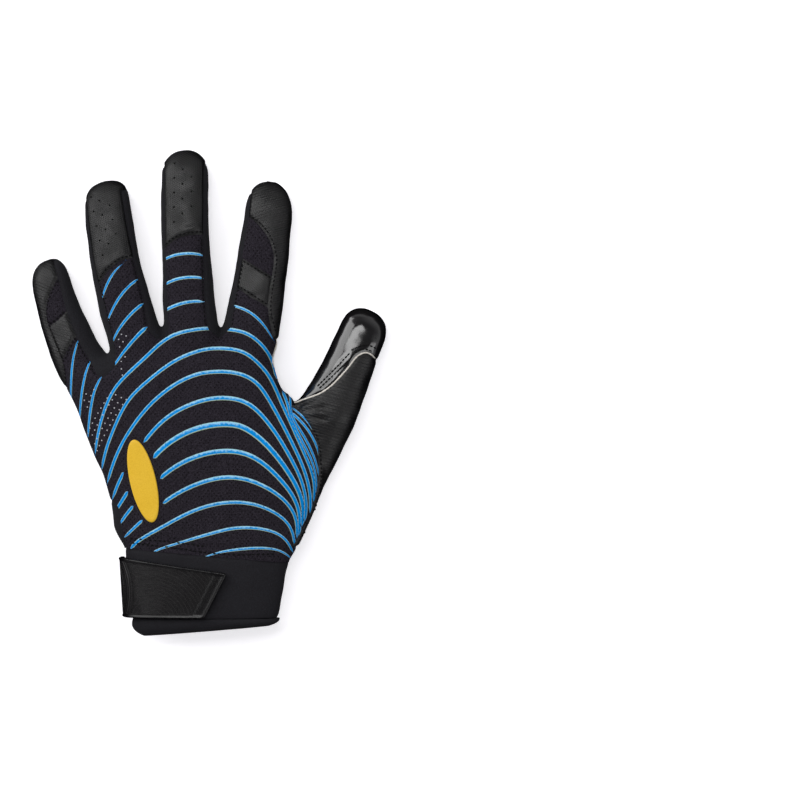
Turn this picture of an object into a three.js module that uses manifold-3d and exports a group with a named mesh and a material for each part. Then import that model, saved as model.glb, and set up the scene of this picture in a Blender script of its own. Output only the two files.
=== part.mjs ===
// A left-hand football receiver glove, lying palm down with its fingers apart, as a set of sewn panels.
// Millimetres, +Z up. +Y points along the middle finger and +X to the thumb's side.
// The origin is on the floor, under the middle of the glove's box.
//
// The glove is worked out on a chart whose zero is at the middle of the knuckle line across, at the
// wrist seam along, and on the floor. One closed outer body and one hollow give the fabric wall, and
// the seams cut that wall into the panels, with a small gap at each seam.

import * as THREE from "three";
import Module from "manifold-3d";
import { mergeVertices } from "three/addons/utils/BufferGeometryUtils.js";

const wasm = await Module();
wasm.setup();

// The hand of the glove, from the wrist seam to the finger roots.
const knuckleWidth = 101;
const handLength = 111;
const handHeight = 27;

// The fabric and how it is sewn.
const fabricWall = 1.8;
const seamGap = 0.3;
const sideSeamHeight = 6;
const edgeRoundness = 2.5;
const tipRound = 12;
const tipPower = 2.3;

// A section's shape: how high its widest line lies and how far it is pressed down below that, as shares
// of its height and of the widest line's; and how far a finger's tip is tucked up and thinned.
const bellyShare = 0.42;
const pressedShare = 1.12;
const tipTuck = 0.36;
const tipLeast = 0.25;
const smallestReach = 0.2;

// The cuff, its folded hem, and the strap that closes it.
const cuffTopWidth = 82;
const cuffBottomWidth = 75;
const cuffHeight = 24;
const cuffDepth = 32;
const cuffWall = 2.2;
const hemDepth = 6;
const hemInset = 0.6;
const strapWidth = 30;
const strapThickness = 1.2;
const strapUnderReach = 46;
const tabThickness = 1.8;
const tabReach = 55;
const tabFoot = 43.5;
const tabDrop = 7.6;
const tabBorder = 2;
const tabEndSlant = 1.2;
const tabBelowWidest = 4;
const strapTop = -1.5;
const strapPastLeft = 10;
const strapOverlap = 1;

// The plain oval badge on the back of the hand.
const badgeLength = 42;
const badgeWidth = 13;
const badgeThickness = 0.8;
const badgeTilt = 13;

// How finely the rings are drawn, and how far a hollow runs out past the open end of its tube.
const fingerSides = 16;
const handSides = 28;
const badgeSides = 24;
const tipStations = [0.03, 0.15, 0.4, 0.7];
const shaftStations = [1, 0.72, 0.42, 0.12];
const runOut = 1;
const cuffRunOut = 3;

// Each finger: its root's middle as shares of the hand's width and length, its splay in degrees, its
// own length, its width at the root as a share of the hand's width, its width near the tip, its heights
// at the root and near the tip, how far its middle bows sideways, how fast it flares to the root, how
// far it runs down inside the hand as a share of the hand's length, and how fast it narrows there.
const fingers = {
  little: {
    rootAcross: -0.52, rootUp: 0.833, splay: -19.5, length: 58.5, rootShare: 0.267, tipWidth: 18.5,
    rootHeight: 18, tipHeight: 13, bow: -2.6, flare: 1.5, buriedShare: 0.126, taper: 0.8,
  },
  ring: {
    rootAcross: -0.262, rootUp: 0.946, splay: -11, length: 83.5, rootShare: 0.277, tipWidth: 23,
    rootHeight: 20, tipHeight: 14, bow: -3, flare: 1.3, buriedShare: 0.18, taper: 0.8,
  },
  middle: {
    rootAcross: 0.008, rootUp: 1.004, splay: -2.2, length: 91.5, rootShare: 0.277, tipWidth: 23.6,
    rootHeight: 21, tipHeight: 14.5, bow: -1.3, flare: 3, buriedShare: 0.216, taper: 0.8,
  },
  index: {
    rootAcross: 0.296, rootUp: 0.986, splay: 7.7, length: 78.5, rootShare: 0.282, tipWidth: 23.4,
    rootHeight: 20.5, tipHeight: 14.5, bow: 1.2, flare: 1.5, buriedShare: 0.198, taper: 0.8,
  },
  thumb: {
    rootAcross: 0.668, rootUp: 0.62, splay: 23.5, length: 57.8, rootShare: 0.307, tipWidth: 23,
    rootHeight: 22, tipHeight: 15.5, bow: 1, flare: 2, buriedShare: 0.36, taper: 0.22,
  },
};

// Sections across the hand, from the wrist seam up. up is a share of the hand's length, left and
// right are shares of its width, height is a share of its height, and lift says how much of the
// strap's room under the cuff is left under the section.
const handSections = [
  { up: 0.104, left: -0.371, right: 0.562, height: 0.93, lift: 0.4 },
  { up: 0.216, left: -0.386, right: 0.621, height: 0.97, lift: 0 },
  { up: 0.329, left: -0.416, right: 0.668, height: 1.0, lift: 0 },
  { up: 0.441, left: -0.47, right: 0.673, height: 1.0, lift: 0 },
  { up: 0.554, left: -0.52, right: 0.624, height: 0.98, lift: 0 },
  { up: 0.667, left: -0.564, right: 0.545, height: 0.95, lift: 0 },
  { up: 0.757, left: -0.614, right: 0.446, height: 0.91, lift: 0 },
  { up: 0.847, left: -0.645, right: 0.416, height: 0.84, lift: 0 },
  { up: 0.88, left: -0.43, right: 0.4, height: 0.76, lift: 0 },
  { up: 0.95, left: -0.36, right: 0.36, height: 0.6, lift: 0 },
  { up: 1.0, left: -0.21, right: 0.21, height: 0.46, lift: 0 },
];

// Where the cuff's middle lies across the hand, and how far it and the hem have moved sideways.
const wristAcross = 0.0855;
const cuffSway = -1.5;
const hemShift = 1.5;
const seamLean = -0.09;
const leanReach = 0.25;
const hemLean = 0.08;
const cuffRoom = strapThickness + 2 * seamGap;

// Outlines of the panels seen from above. A row on a finger has its share along the finger and
// across its half width; a row on the hand has its share up the hand and across its half width.
// The outlines named Side hold only below the hand's widest line, where its side curves back in.
const on = (name, along, across) => ({ name, along, across });
const outlines = {
  middleTip: [
    on("middle", 0.46, -0.85), on("middle", 0.5, -0.38), on("middle", 0.52, 0.14),
    on("middle", 0.525, 0.78), on("middle", 0.91, 0.84), on("middle", 0.93, 1.4), on("middle", 1.1, 1.4),
    on("middle", 1.1, -1.4), on("middle", 0.93, -1.4), on("middle", 0.91, -0.85),
  ],
  ringTip: [
    on("ring", 0.39, -0.8), on("ring", 0.45, -0.4), on("ring", 0.5, 0.2), on("ring", 0.512, 0.79),
    on("ring", 0.7, 0.75), on("ring", 0.92, 0.68), on("ring", 0.94, 1.4), on("ring", 1.1, 1.4),
    on("ring", 1.1, -1.4), on("ring", 0.94, -1.4), on("ring", 0.92, -0.9), on("ring", 0.6, -0.86),
  ],
  indexTip: [
    on("index", 0.746, -0.78), on("index", 0.55, 0.37), on("index", 0.46, 0.52), on("index", 0.2, 0.52),
    on("index", 0, 0.88), on("index", -0.03, 1.5), on("index", 1.1, 1.5), on("index", 1.1, -1.5),
    on("index", 0.94, -1.5), on("index", 0.91, -0.8),
  ],
  indexPatch: [
    on("index", 0.474, -0.8), on("index", 0.382, 0.52), on("index", 0.2, 0.52), on("index", 0.19, 0.5),
    on("index", 0.287, -0.79),
  ],
  indexWindow: [
    on("index", 0.746, -0.78), on("index", 0.55, 0.37), on("index", 0.46, 0.52), on("index", 0.382, 0.52),
    on("index", 0.474, -0.8),
  ],
  littleTip: [
    on("little", 0.97, 0.36), on("little", 0.81, 0.44), on("little", 0.705, -0.18),
    on("little", 0.596, -0.57), on("little", 0.45, -0.7), on("little", 0.12, -0.66),
    on("little", -0.04, -0.88), on("little", -0.15, -1.12), on("little", -0.15, -1.7),
    on("little", 1.12, -1.7), on("little", 1.12, 1.5), on("little", 0.985, 1.5),
  ],
  littlePatch: [
    on("little", 0.44, -0.7), on("little", 0.461, -0.2), on("little", 0.507, 0.34),
    on("little", 0.284, 0.33), on("little", 0.22, -0.13), on("little", 0.12, -0.66),
  ],
  littleWindow: [
    on("little", 0.81, 0.44), on("little", 0.705, -0.18), on("little", 0.596, -0.57),
    on("little", 0.45, -0.7), on("little", 0.44, -0.7), on("little", 0.461, -0.2), on("little", 0.507, 0.34),
  ],
  forkLittleRing: [
    on("little", 0.97, 0.36), on("little", 0.81, 0.44), on("little", 0.507, 0.34),
    on("little", 0.284, 0.33), on("little", 0, 0.37), on("little", -0.09, 0.45), on("hand", 0.795, -0.6),
    on("hand", 0.842, -0.47), on("ring", 0.04, -0.79), on("ring", 0.39, -0.8), on("ring", 0.6, -0.86),
    on("ring", 0.92, -0.9), on("ring", 0.94, -1.8), on("little", 1.1, 1.9), on("little", 0.985, 1.5),
  ],
  forkRingMiddle: [
    on("ring", 0.92, 0.68), on("ring", 0.7, 0.75), on("ring", 0.512, 0.79), on("ring", 0.231, 0.76),
    on("ring", 0.081, 0.62), on("ring", 0.005, 0.78), on("ring", 0.012, 1.14), on("middle", 0.02, -0.84),
    on("middle", 0.15, -0.86), on("middle", 0.46, -0.85), on("middle", 0.91, -0.85),
    on("middle", 0.93, -1.4), on("ring", 0.94, 1.4),
  ],
  forkMiddleIndex: [
    on("middle", 0.91, 0.84), on("middle", 0.525, 0.78), on("middle", 0.38, 0.74),
    on("middle", 0.144, 0.66), on("middle", 0.018, 0.66), on("index", -0.013, -1.3),
    on("index", -0.038, -1.06), on("index", 0.03, -0.72), on("index", 0.172, -0.78),
    on("index", 0.474, -0.8), on("index", 0.746, -0.78), on("index", 0.91, -0.8), on("index", 0.94, -1.6),
    on("middle", 0.95, 1.9), on("middle", 0.93, 1.4),
  ],
  wristGusset: [
    on("hand", 0.25, -1.3), on("hand", 0.235, -0.97), on("hand", 0.2, -0.93), on("hand", 0.1, -0.91),
    on("hand", -0.08, -0.9), on("hand", -0.08, -1.4),
  ],
  thumbLeather: [
    on("hand", 0.03, 1.0), on("hand", 0.13, 1.0), on("hand", 0.225, 0.985), on("hand", 0.333, 0.95),
    on("hand", 0.414, 0.945), on("hand", 0.497, 0.96), on("hand", 0.563, 0.975), on("hand", 0.617, 0.97),
    on("thumb", 0, -1.02), on("thumb", 0.05, -0.9), on("thumb", 0.1, -0.72), on("thumb", 0.165, -0.49),
    on("thumb", 0.252, -0.29), on("thumb", 0.363, -0.12), on("thumb", 0.483, 0.04), on("thumb", 0.584, 0.17),
    on("thumb", 0.638, 0.4), on("thumb", 0.649, 0.65), on("thumb", 0.61, 1.15), on("thumb", 0.6, 1.7),
    on("thumb", -0.4, 2.2), on("hand", 0.03, 1.5),
  ],
  wristGussetSide: [
    on("hand", 0.25, -1.3), on("hand", 0.235, -0.8), on("hand", -0.08, -0.75), on("hand", -0.08, -1.4),
  ],
  thumbLeatherSide: [
    on("hand", 0.03, 0.75), on("hand", 0.59, 0.8), on("hand", 0.59, 1.0), on("hand", 0.55, 1.12),
    on("hand", 0.5, 1.5), on("hand", 0.03, 1.5),
  ],
  thumbZoneSide: [
    on("hand", 0.59, 0.8), on("hand", 0.69, 0.82), on("hand", 0.7, 1.1), on("hand", 0.59, 1.1),
  ],
  thumbZone: [
    on("thumb", -0.04, -1.06), on("thumb", -0.02, -0.5), on("thumb", -0.1, 1.0), on("thumb", -0.14, 1.8),
    on("thumb", 1.2, 1.8), on("thumb", 1.2, -1.8), on("thumb", 0.3, -1.8), on("thumb", 0.1, -1.25),
  ],
};

const badgePlace = on("hand", 0.33, -0.64);

// A chart place on a finger, past its tip or inside the hand too.
function fingerFrame(finger) {
  const splay = THREE.MathUtils.degToRad(finger.splay);
  return {
    root: new THREE.Vector2(finger.rootAcross * knuckleWidth, finger.rootUp * handLength),
    along: new THREE.Vector2(Math.sin(splay), Math.cos(splay)),
    across: new THREE.Vector2(Math.cos(splay), -Math.sin(splay)),
  };
}

// A finger's full width at a share of its length. Inside the hand it narrows again.
function fingerWidth(finger, share) {
  const rootWidth = finger.rootShare * knuckleWidth;
  if (share < 0) return rootWidth * (1 + finger.taper * share);
  const rest = Math.pow(1 - Math.min(share, 1), finger.flare);
  return finger.tipWidth + (rootWidth - finger.tipWidth) * rest;
}

// How far a finger's middle line has bowed sideways at a share of its length.
function fingerBow(finger, share) {
  const inside = THREE.MathUtils.clamp(share, 0, 1);
  return finger.bow * 4 * inside * (1 - inside);
}

function onFinger(finger, share, sideways) {
  const frame = fingerFrame(finger);
  return frame.root.clone()
    .addScaledVector(frame.along, share * finger.length)
    .addScaledVector(frame.across, fingerBow(finger, share) + sideways);
}

// The section across the hand at a share of its length, in millimetres.
function handSection(up) {
  const wrist = {
    up: 0,
    left: (wristAcross * knuckleWidth - cuffTopWidth / 2) / knuckleWidth,
    right: (wristAcross * knuckleWidth + cuffTopWidth / 2) / knuckleWidth,
    height: cuffHeight / handHeight,
    lift: 1,
  };
  const rows = [wrist, ...handSections];
  const last = rows.length - 2;
  const found = rows.findIndex((row, i) => i === last || up <= rows[i + 1].up);
  const low = rows[found];
  const high = rows[found + 1];
  const blend = THREE.MathUtils.clamp((up - low.up) / (high.up - low.up), 0, 1);
  const mix = (column) => THREE.MathUtils.lerp(low[column], high[column], blend);
  return {
    left: mix("left") * knuckleWidth,
    right: mix("right") * knuckleWidth,
    height: mix("height") * handHeight,
    floor: mix("lift") * cuffRoom,
  };
}

// The chart place of one row of an outline.
function placeOf(row) {
  if (row.name !== "hand") {
    const finger = fingers[row.name];
    return onFinger(finger, row.along, (row.across * fingerWidth(finger, row.along)) / 2);
  }
  const section = handSection(row.along);
  const middle = (section.left + section.right) / 2;
  const half = (section.right - section.left) / 2;
  return new THREE.Vector2(middle + row.across * half, row.along * handLength);
}

// A ring of points round a flattened tube: a rounded top, and a flat where it lies on the floor.
function ringPoints({ middle, across, halfWidth, floor, height, lean = 0, inset = 0, sides }) {
  const belly = bellyShare * height;
  const points = [];
  for (let i = 0; i < sides; i++) {
    const turn = (2 * Math.PI * i) / sides;
    const power = 2 / edgeRoundness;
    const out = Math.sign(Math.cos(turn)) * Math.pow(Math.abs(Math.cos(turn)), power);
    const rise = Math.sign(Math.sin(turn)) * Math.pow(Math.abs(Math.sin(turn)), power);
    const side = out * Math.max(halfWidth - inset, smallestReach);
    const reach = rise > 0 ? height - belly - inset : pressedShare * belly - inset;
    const z = Math.max(floor + belly + rise * Math.max(reach, smallestReach), floor + inset);
    const x = middle.x + across.x * side;
    const y = middle.y + across.y * side + lean * side;
    points.push(new THREE.Vector3(x, y, z));
  }
  return points;
}

// A closed mesh made into a solid that can be cut and joined.
function toSolid(geometry) {
  const bare = geometry.clone();
  for (const name of Object.keys(bare.attributes)) {
    if (name !== "position") bare.deleteAttribute(name);
  }
  const merged = mergeVertices(bare, 1e-4);
  return new wasm.Manifold(new wasm.Mesh({
    numProp: 3,
    vertProperties: new Float32Array(merged.attributes.position.array),
    triVerts: new Uint32Array(merged.index.array),
  }));
}

// A closed skin through a row of rings with the same number of points, with fans over its two ends.
function loft(rings) {
  const sides = rings[0].length;
  const points = rings.flat();
  const corners = [];
  for (let r = 0; r < rings.length - 1; r++) {
    for (let i = 0; i < sides; i++) {
      const a = r * sides + i;
      const b = r * sides + ((i + 1) % sides);
      corners.push(a, b, b + sides, a, b + sides, a + sides);
    }
  }
  const lastRing = (rings.length - 1) * sides;
  for (let i = 1; i < sides - 1; i++) {
    corners.push(0, i + 1, i);
    corners.push(lastRing, lastRing + i, lastRing + i + 1);
  }
  const build = (order) => {
    const geometry = new THREE.BufferGeometry().setFromPoints(points);
    geometry.setIndex(order);
    return toSolid(geometry);
  };
  const solid = build(corners);
  if (solid.volume() > 0) return solid;
  const turned = [];
  for (let i = 0; i < corners.length; i += 3) turned.push(corners[i], corners[i + 2], corners[i + 1]);
  return build(turned);
}

// How full a finger is at a distance from the end of its tip, from 0 to 1.
function tipFullness(distance, inset) {
  const share = THREE.MathUtils.clamp((distance - inset) / (tipRound - inset), 0, 1);
  return Math.pow(1 - Math.pow(1 - share, tipPower), 1 / tipPower);
}

// One finger as a solid, drawn in from its outside by an inset.
function fingerSolid(finger, inset) {
  const frame = fingerFrame(finger);
  const stations = tipStations.map((share) => finger.length - inset - share * (tipRound - inset));
  const shaft = finger.length - tipRound;
  for (const share of shaftStations) stations.push(shaft * share);
  const buried = finger.buriedShare * handLength;
  stations.push(-buried / 2, inset - buried);
  const rings = stations.map((run) => {
    const share = run / finger.length;
    const full = tipFullness(finger.length - run, inset);
    const sinking = share < 0 ? 1 + 0.5 * share : 1;
    const outside = THREE.MathUtils.clamp(share, 0, 1);
    const height = THREE.MathUtils.lerp(finger.rootHeight, finger.tipHeight, outside) * sinking;
    const tuck = (1 - full) * tipTuck * height;
    const thinned = (height - 2 * inset) * (tipLeast + (1 - tipLeast) * full);
    return ringPoints({
      middle: onFinger(finger, share, 0),
      across: frame.across,
      halfWidth: inset + (fingerWidth(finger, share) / 2 - inset) * full,
      floor: tuck,
      height: Math.max(thinned + 2 * inset - tuck, 2 * inset + 1),
      inset,
      sides: fingerSides,
    });
  });
  return loft(rings);
}

// The cuff's ring at a depth below the wrist seam, as far down as its hem.
function cuffRing(depth, lean, outset, narrowing = 0) {
  const share = depth / cuffDepth;
  const width = THREE.MathUtils.lerp(cuffTopWidth, cuffBottomWidth, share) - 2 * narrowing;
  const shift = cuffSway * share + (narrowing > 0 ? hemShift : 0);
  return ringPoints({
    middle: new THREE.Vector2(wristAcross * knuckleWidth + shift, -depth),
    across: new THREE.Vector2(1, 0),
    halfWidth: width / 2,
    floor: cuffRoom + narrowing,
    height: cuffHeight - 2 * narrowing,
    inset: -outset,
    lean,
    sides: handSides,
  });
}

// The hand as a solid, from a little below the wrist seam when it is the hollow.
function handSolid(inset) {
  const start = inset > 0 ? -runOut : seamGap / 2;
  const rings = [];
  const stations = [start / handLength, ...handSections.map((row) => row.up)];
  stations.forEach((up, i) => {
    const section = handSection(up);
    const end = i === stations.length - 1 && inset > 0 ? inset : 0;
    rings.push(ringPoints({
      middle: new THREE.Vector2((section.left + section.right) / 2, up * handLength - end),
      across: new THREE.Vector2(1, 0),
      halfWidth: (section.right - section.left) / 2,
      floor: section.floor,
      height: section.height,
      lean: seamLean * Math.max(0, 1 - up / leanReach),
      inset,
      sides: handSides,
    }));
  });
  return loft(rings);
}

// The hand and its fingers as one body.
function gloveBody(inset) {
  const addFinger = (body, finger) => body.add(fingerSolid(finger, inset));
  return Object.values(fingers).reduce(addFinger, handSolid(inset));
}

// An outline moved out by a distance, or in if it is negative, with mitred corners.
function grow(points, distance) {
  const turned = THREE.ShapeUtils.area(points) > 0 ? points : [...points].reverse();
  return turned.map((point, i) => {
    const before = turned[(i + turned.length - 1) % turned.length];
    const after = turned[(i + 1) % turned.length];
    const came = point.clone().sub(before).normalize();
    const goes = after.clone().sub(point).normalize();
    const outCame = new THREE.Vector2(came.y, -came.x);
    const outGoes = new THREE.Vector2(goes.y, -goes.x);
    const mitre = outCame.add(outGoes).normalize();
    const reach = distance / Math.max(mitre.dot(new THREE.Vector2(goes.y, -goes.x)), 0.4);
    return point.clone().addScaledVector(mitre, reach);
  });
}

const floorDepth = -10;
const ceiling = handHeight + cuffHeight;

// A standing block with an outline in plan, between two heights.
function standing(points, low = floorDepth, high = ceiling) {
  const shape = new THREE.Shape(points);
  const geometry = new THREE.ExtrudeGeometry(shape, { depth: high - low, bevelEnabled: false });
  geometry.translate(0, 0, low);
  return toSolid(geometry);
}

const outlineOf = (rows, distance) => grow(rows.map(placeOf), distance);

// A slab that covers the whole plan between two heights.
function slab(low, high) {
  const reach = knuckleWidth + handLength + cuffTopWidth;
  const geometry = new THREE.BoxGeometry(2 * reach, 2 * reach, high - low);
  geometry.translate(0, 0, (low + high) / 2);
  return toSolid(geometry);
}

// The largest piece of a cut, without the crumbs that a seam leaves.
function mainPiece(solid) {
  return solid.decompose().reduce((best, next) => (next.volume() > best.volume() ? next : best));
}

const half = seamGap / 2;
const pieces = {};

// A panel on the side of the hand: its outline in plan, and a deeper one below the widest line.
const widestLine = cuffRoom + bellyShare * cuffHeight;
function sideBlock(rows, sideRows, distance, low) {
  return standing(outlineOf(rows, distance), low)
    .add(standing(outlineOf(sideRows, distance), low, widestLine + distance));
}

// The fabric wall, first cut round the thumb and then into what lies above and below the side seam.
let wall = gloveBody(0).subtract(gloveBody(fabricWall));
function leatherTop(distance) {
  return sideBlock(outlines.thumbLeather, outlines.thumbLeatherSide, distance, sideSeamHeight - distance);
}
pieces.thumb_leather = wall.intersect(leatherTop(-half));
wall = wall.subtract(leatherTop(half));
const gripBlock = (distance) => sideBlock(outlines.thumbZone, outlines.thumbZoneSide, distance, floorDepth);
pieces.thumb_grip = wall.intersect(gripBlock(-half));
wall = wall.subtract(gripBlock(half));
pieces.palm_panel = wall.intersect(slab(floorDepth, sideSeamHeight - half));
let back = wall.intersect(slab(sideSeamHeight + half, ceiling));

// The pieces sewn along the back, each cut out of what is left of it.
function gussetBlock(distance) {
  return sideBlock(outlines.wristGusset, outlines.wristGussetSide, distance, floorDepth);
}
pieces.wrist_gusset = back.intersect(gussetBlock(-half));
back = back.subtract(gussetBlock(half));
const sewnOn = {
  middle_tip_panel: outlines.middleTip,
  ring_tip_panel: outlines.ringTip,
  index_tip_panel: outlines.indexTip,
  index_knuckle_patch: outlines.indexPatch,
  index_knit_window: outlines.indexWindow,
  little_tip_panel: outlines.littleTip,
  little_knuckle_patch: outlines.littlePatch,
  little_knit_window: outlines.littleWindow,
  fourchette_little_ring: outlines.forkLittleRing,
  fourchette_ring_middle: outlines.forkRingMiddle,
  fourchette_middle_index: outlines.forkMiddleIndex,
};
for (const [name, rows] of Object.entries(sewnOn)) {
  pieces[name] = back.intersect(standing(outlineOf(rows, -half)));
  back = back.subtract(standing(outlineOf(rows, half)));
}
pieces.back_panel = back;

// The badge lies on the back, a gap above it.
function ovalPoints(place, length, width, tilt) {
  const turned = THREE.MathUtils.degToRad(tilt);
  const curve = new THREE.EllipseCurve(place.x, place.y, width / 2, length / 2, 0, 2 * Math.PI, false, turned);
  return curve.getPoints(badgeSides).slice(0, -1);
}
const badgeShell = gloveBody(-seamGap - badgeThickness).subtract(gloveBody(-seamGap));
const badgeOutline = ovalPoints(placeOf(badgePlace), badgeLength, badgeWidth, badgeTilt);
pieces.back_badge = badgeShell.intersect(standing(badgeOutline, handHeight / 2));

// The cuff is an open tube under the wrist seam, and the hem is the folded edge below it.
function tube(outerRings, innerRings) {
  return loft(outerRings).subtract(loft(innerRings));
}
pieces.cuff_band = tube(
  [cuffRing(half, seamLean, 0), cuffRing(cuffDepth / 2, 0, 0), cuffRing(cuffDepth, 0, 0)],
  [
    cuffRing(half - cuffRunOut, seamLean, -cuffWall), cuffRing(cuffDepth / 2, 0, -cuffWall),
    cuffRing(cuffDepth + runOut, 0, -cuffWall),
  ],
);
const hemTop = cuffDepth + seamGap;
const hemFold = hemTop + hemDepth / 2;
pieces.cuff_hem = tube(
  [
    cuffRing(hemTop, 0, 0, hemInset), cuffRing(hemFold, hemLean, 0, 2 * hemInset),
    cuffRing(hemTop + hemDepth, hemLean, 0, 5 * hemInset),
  ],
  [
    cuffRing(hemTop - runOut, 0, -cuffWall, hemInset), cuffRing(hemFold, hemLean, -cuffWall, 2 * hemInset),
    cuffRing(hemTop + hemDepth + runOut, hemLean, -cuffWall, 5 * hemInset),
  ],
);

// A sleeve round the cuff, between two distances from it.
function sleeve(near, far) {
  const rings = (depths, outset) => depths.map((depth) => cuffRing(depth, 0, outset));
  const outer = rings([-cuffDepth / 8, cuffDepth / 2, cuffDepth], far);
  const inner = rings([-cuffDepth / 4, cuffDepth / 2, cuffDepth * 1.25], near);
  return tube(outer, inner);
}

// The strap comes from the palm side, round the little finger's side, and ends under the moulded tab.
const cuffLeft = wristAcross * knuckleWidth - cuffTopWidth / 2 - strapThickness - tabThickness;
const strapLeft = cuffLeft - strapPastLeft;
function tabOutline(border) {
  const endBorder = tabEndSlant * border;
  return [
    new THREE.Vector2(strapLeft, strapTop - border),
    new THREE.Vector2(cuffLeft, strapTop - border),
    new THREE.Vector2(cuffLeft + tabReach - endBorder, strapTop - tabDrop - border),
    new THREE.Vector2(cuffLeft + tabFoot - endBorder, strapTop - strapWidth + border),
    new THREE.Vector2(strapLeft, strapTop - strapWidth + border),
  ];
}
const underOutline = [
  new THREE.Vector2(strapLeft, strapTop - tabBorder),
  new THREE.Vector2(cuffLeft + strapUnderReach, strapTop - tabBorder),
  new THREE.Vector2(cuffLeft + strapUnderReach, strapTop - strapWidth + tabBorder),
  new THREE.Vector2(strapLeft, strapTop - strapWidth + tabBorder),
];
const strapZone = standing(tabOutline(tabBorder), widestLine - strapOverlap, ceiling)
  .add(standing(underOutline, floorDepth, widestLine));
pieces.strap_band = sleeve(seamGap, seamGap + strapThickness).intersect(strapZone);
const tabNear = 2 * seamGap + strapThickness;
pieces.strap_tab = sleeve(tabNear, tabNear + tabThickness)
  .intersect(standing(tabOutline(0), widestLine - tabBelowWidest, ceiling));

// Colours and surfaces of the panels.
const knitBlack = new THREE.MeshStandardMaterial({ color: 0x25252b, roughness: 0.9, metalness: 0 });
const lycraBlack = new THREE.MeshStandardMaterial({ color: 0x1b1b20, roughness: 0.8, metalness: 0 });
const leatherBlack = new THREE.MeshStandardMaterial({ color: 0x232325, roughness: 0.55, metalness: 0 });
const gripBlack = new THREE.MeshStandardMaterial({ color: 0x121214, roughness: 0.18, metalness: 0 });
const neopreneBlack = new THREE.MeshStandardMaterial({ color: 0x1d1d20, roughness: 0.85, metalness: 0 });
const mouldedBlack = new THREE.MeshStandardMaterial({ color: 0x161617, roughness: 0.4, metalness: 0 });
const badgeGold = new THREE.MeshStandardMaterial({ color: 0xe0b41e, roughness: 0.45, metalness: 0 });
const finishes = {
  back_panel: knitBlack,
  palm_panel: gripBlack,
  thumb_leather: leatherBlack,
  thumb_grip: gripBlack,
  middle_tip_panel: leatherBlack,
  ring_tip_panel: leatherBlack,
  index_tip_panel: leatherBlack,
  index_knuckle_patch: leatherBlack,
  index_knit_window: knitBlack,
  little_tip_panel: leatherBlack,
  little_knuckle_patch: leatherBlack,
  little_knit_window: knitBlack,
  fourchette_little_ring: lycraBlack,
  fourchette_ring_middle: lycraBlack,
  fourchette_middle_index: lycraBlack,
  wrist_gusset: lycraBlack,
  back_badge: badgeGold,
  cuff_band: neopreneBlack,
  cuff_hem: neopreneBlack,
  strap_band: neopreneBlack,
  strap_tab: mouldedBlack,
};

function toMesh(name, solid) {
  const made = mainPiece(solid).getMesh();
  const positions = new Float32Array(made.numVert * 3);
  for (let i = 0; i < made.numVert; i++) {
    for (let k = 0; k < 3; k++) positions[3 * i + k] = made.vertProperties[made.numProp * i + k];
  }
  const geometry = new THREE.BufferGeometry();
  geometry.setAttribute("position", new THREE.BufferAttribute(positions, 3));
  geometry.setIndex(new THREE.BufferAttribute(new Uint32Array(made.triVerts), 1));
  const mesh = new THREE.Mesh(geometry, finishes[name]);
  mesh.name = name;
  return mesh;
}

const panels = new THREE.Group();
for (const [name, solid] of Object.entries(pieces)) panels.add(toMesh(name, solid));

// The chart is moved so that the middle of the glove's box stands over the origin.
const box = new THREE.Box3().setFromObject(panels);
const middle = box.getCenter(new THREE.Vector3());
panels.position.set(-middle.x, -middle.y, -box.min.z);

const glove = new THREE.Group();
glove.add(panels);

export default glove;
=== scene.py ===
"""A left-hand football receiver glove, lying palm down with its fingers apart.

The glove is worked out on a chart in millimetres: x runs across the hand to the thumb's side, y from
the wrist seam to the finger tips, and z up from the floor. Each piece is moved into the frame, and
turned to metres, when it is finished. Its skin is lofted as one body, cut along the sewn seams into
panels, and each panel gets a wall, a turned-in edge and the finish of its cloth.
"""

from __future__ import annotations

import logging
import math
from dataclasses import dataclass, field
from enum import Enum

import bmesh
import bpy
import numpy as np
from mathutils import Matrix, Vector, noise
from mathutils.bvhtree import BVHTree
from mathutils.kdtree import KDTree

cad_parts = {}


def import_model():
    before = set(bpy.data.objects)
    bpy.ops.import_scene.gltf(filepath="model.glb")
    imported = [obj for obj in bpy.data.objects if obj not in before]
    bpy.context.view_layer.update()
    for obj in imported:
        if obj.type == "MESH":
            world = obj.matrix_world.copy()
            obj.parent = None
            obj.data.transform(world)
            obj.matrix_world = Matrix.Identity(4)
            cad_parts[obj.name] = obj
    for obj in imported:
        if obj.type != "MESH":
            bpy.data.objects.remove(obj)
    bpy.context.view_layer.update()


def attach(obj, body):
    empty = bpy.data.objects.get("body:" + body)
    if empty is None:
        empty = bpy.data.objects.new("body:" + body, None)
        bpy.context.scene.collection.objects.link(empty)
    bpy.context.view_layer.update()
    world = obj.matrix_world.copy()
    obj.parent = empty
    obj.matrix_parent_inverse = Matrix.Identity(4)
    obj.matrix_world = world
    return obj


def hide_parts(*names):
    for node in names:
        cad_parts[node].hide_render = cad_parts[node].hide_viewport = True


BMesh = bmesh.types.BMesh
Material = bpy.types.Material
Tree = bpy.types.NodeTree
Socket = bpy.types.NodeSocket
LOG = logging.getLogger("glove")
# From the wrist seam's middle, the chart's zero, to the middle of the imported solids, in millimetres.
CHART_TO_FRAME = Vector((-9.406, -80.826, 0.0))
# How many places are measured at once, to spare memory.
BATCH = 4000
# The height in millimetres from which places are dropped onto the glove.
ABOVE = 80.0


# Small tools


class Ends(Enum):
    """How a loft of rings ends."""

    CAPPED = "capped"
    JOINED = "joined"


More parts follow.
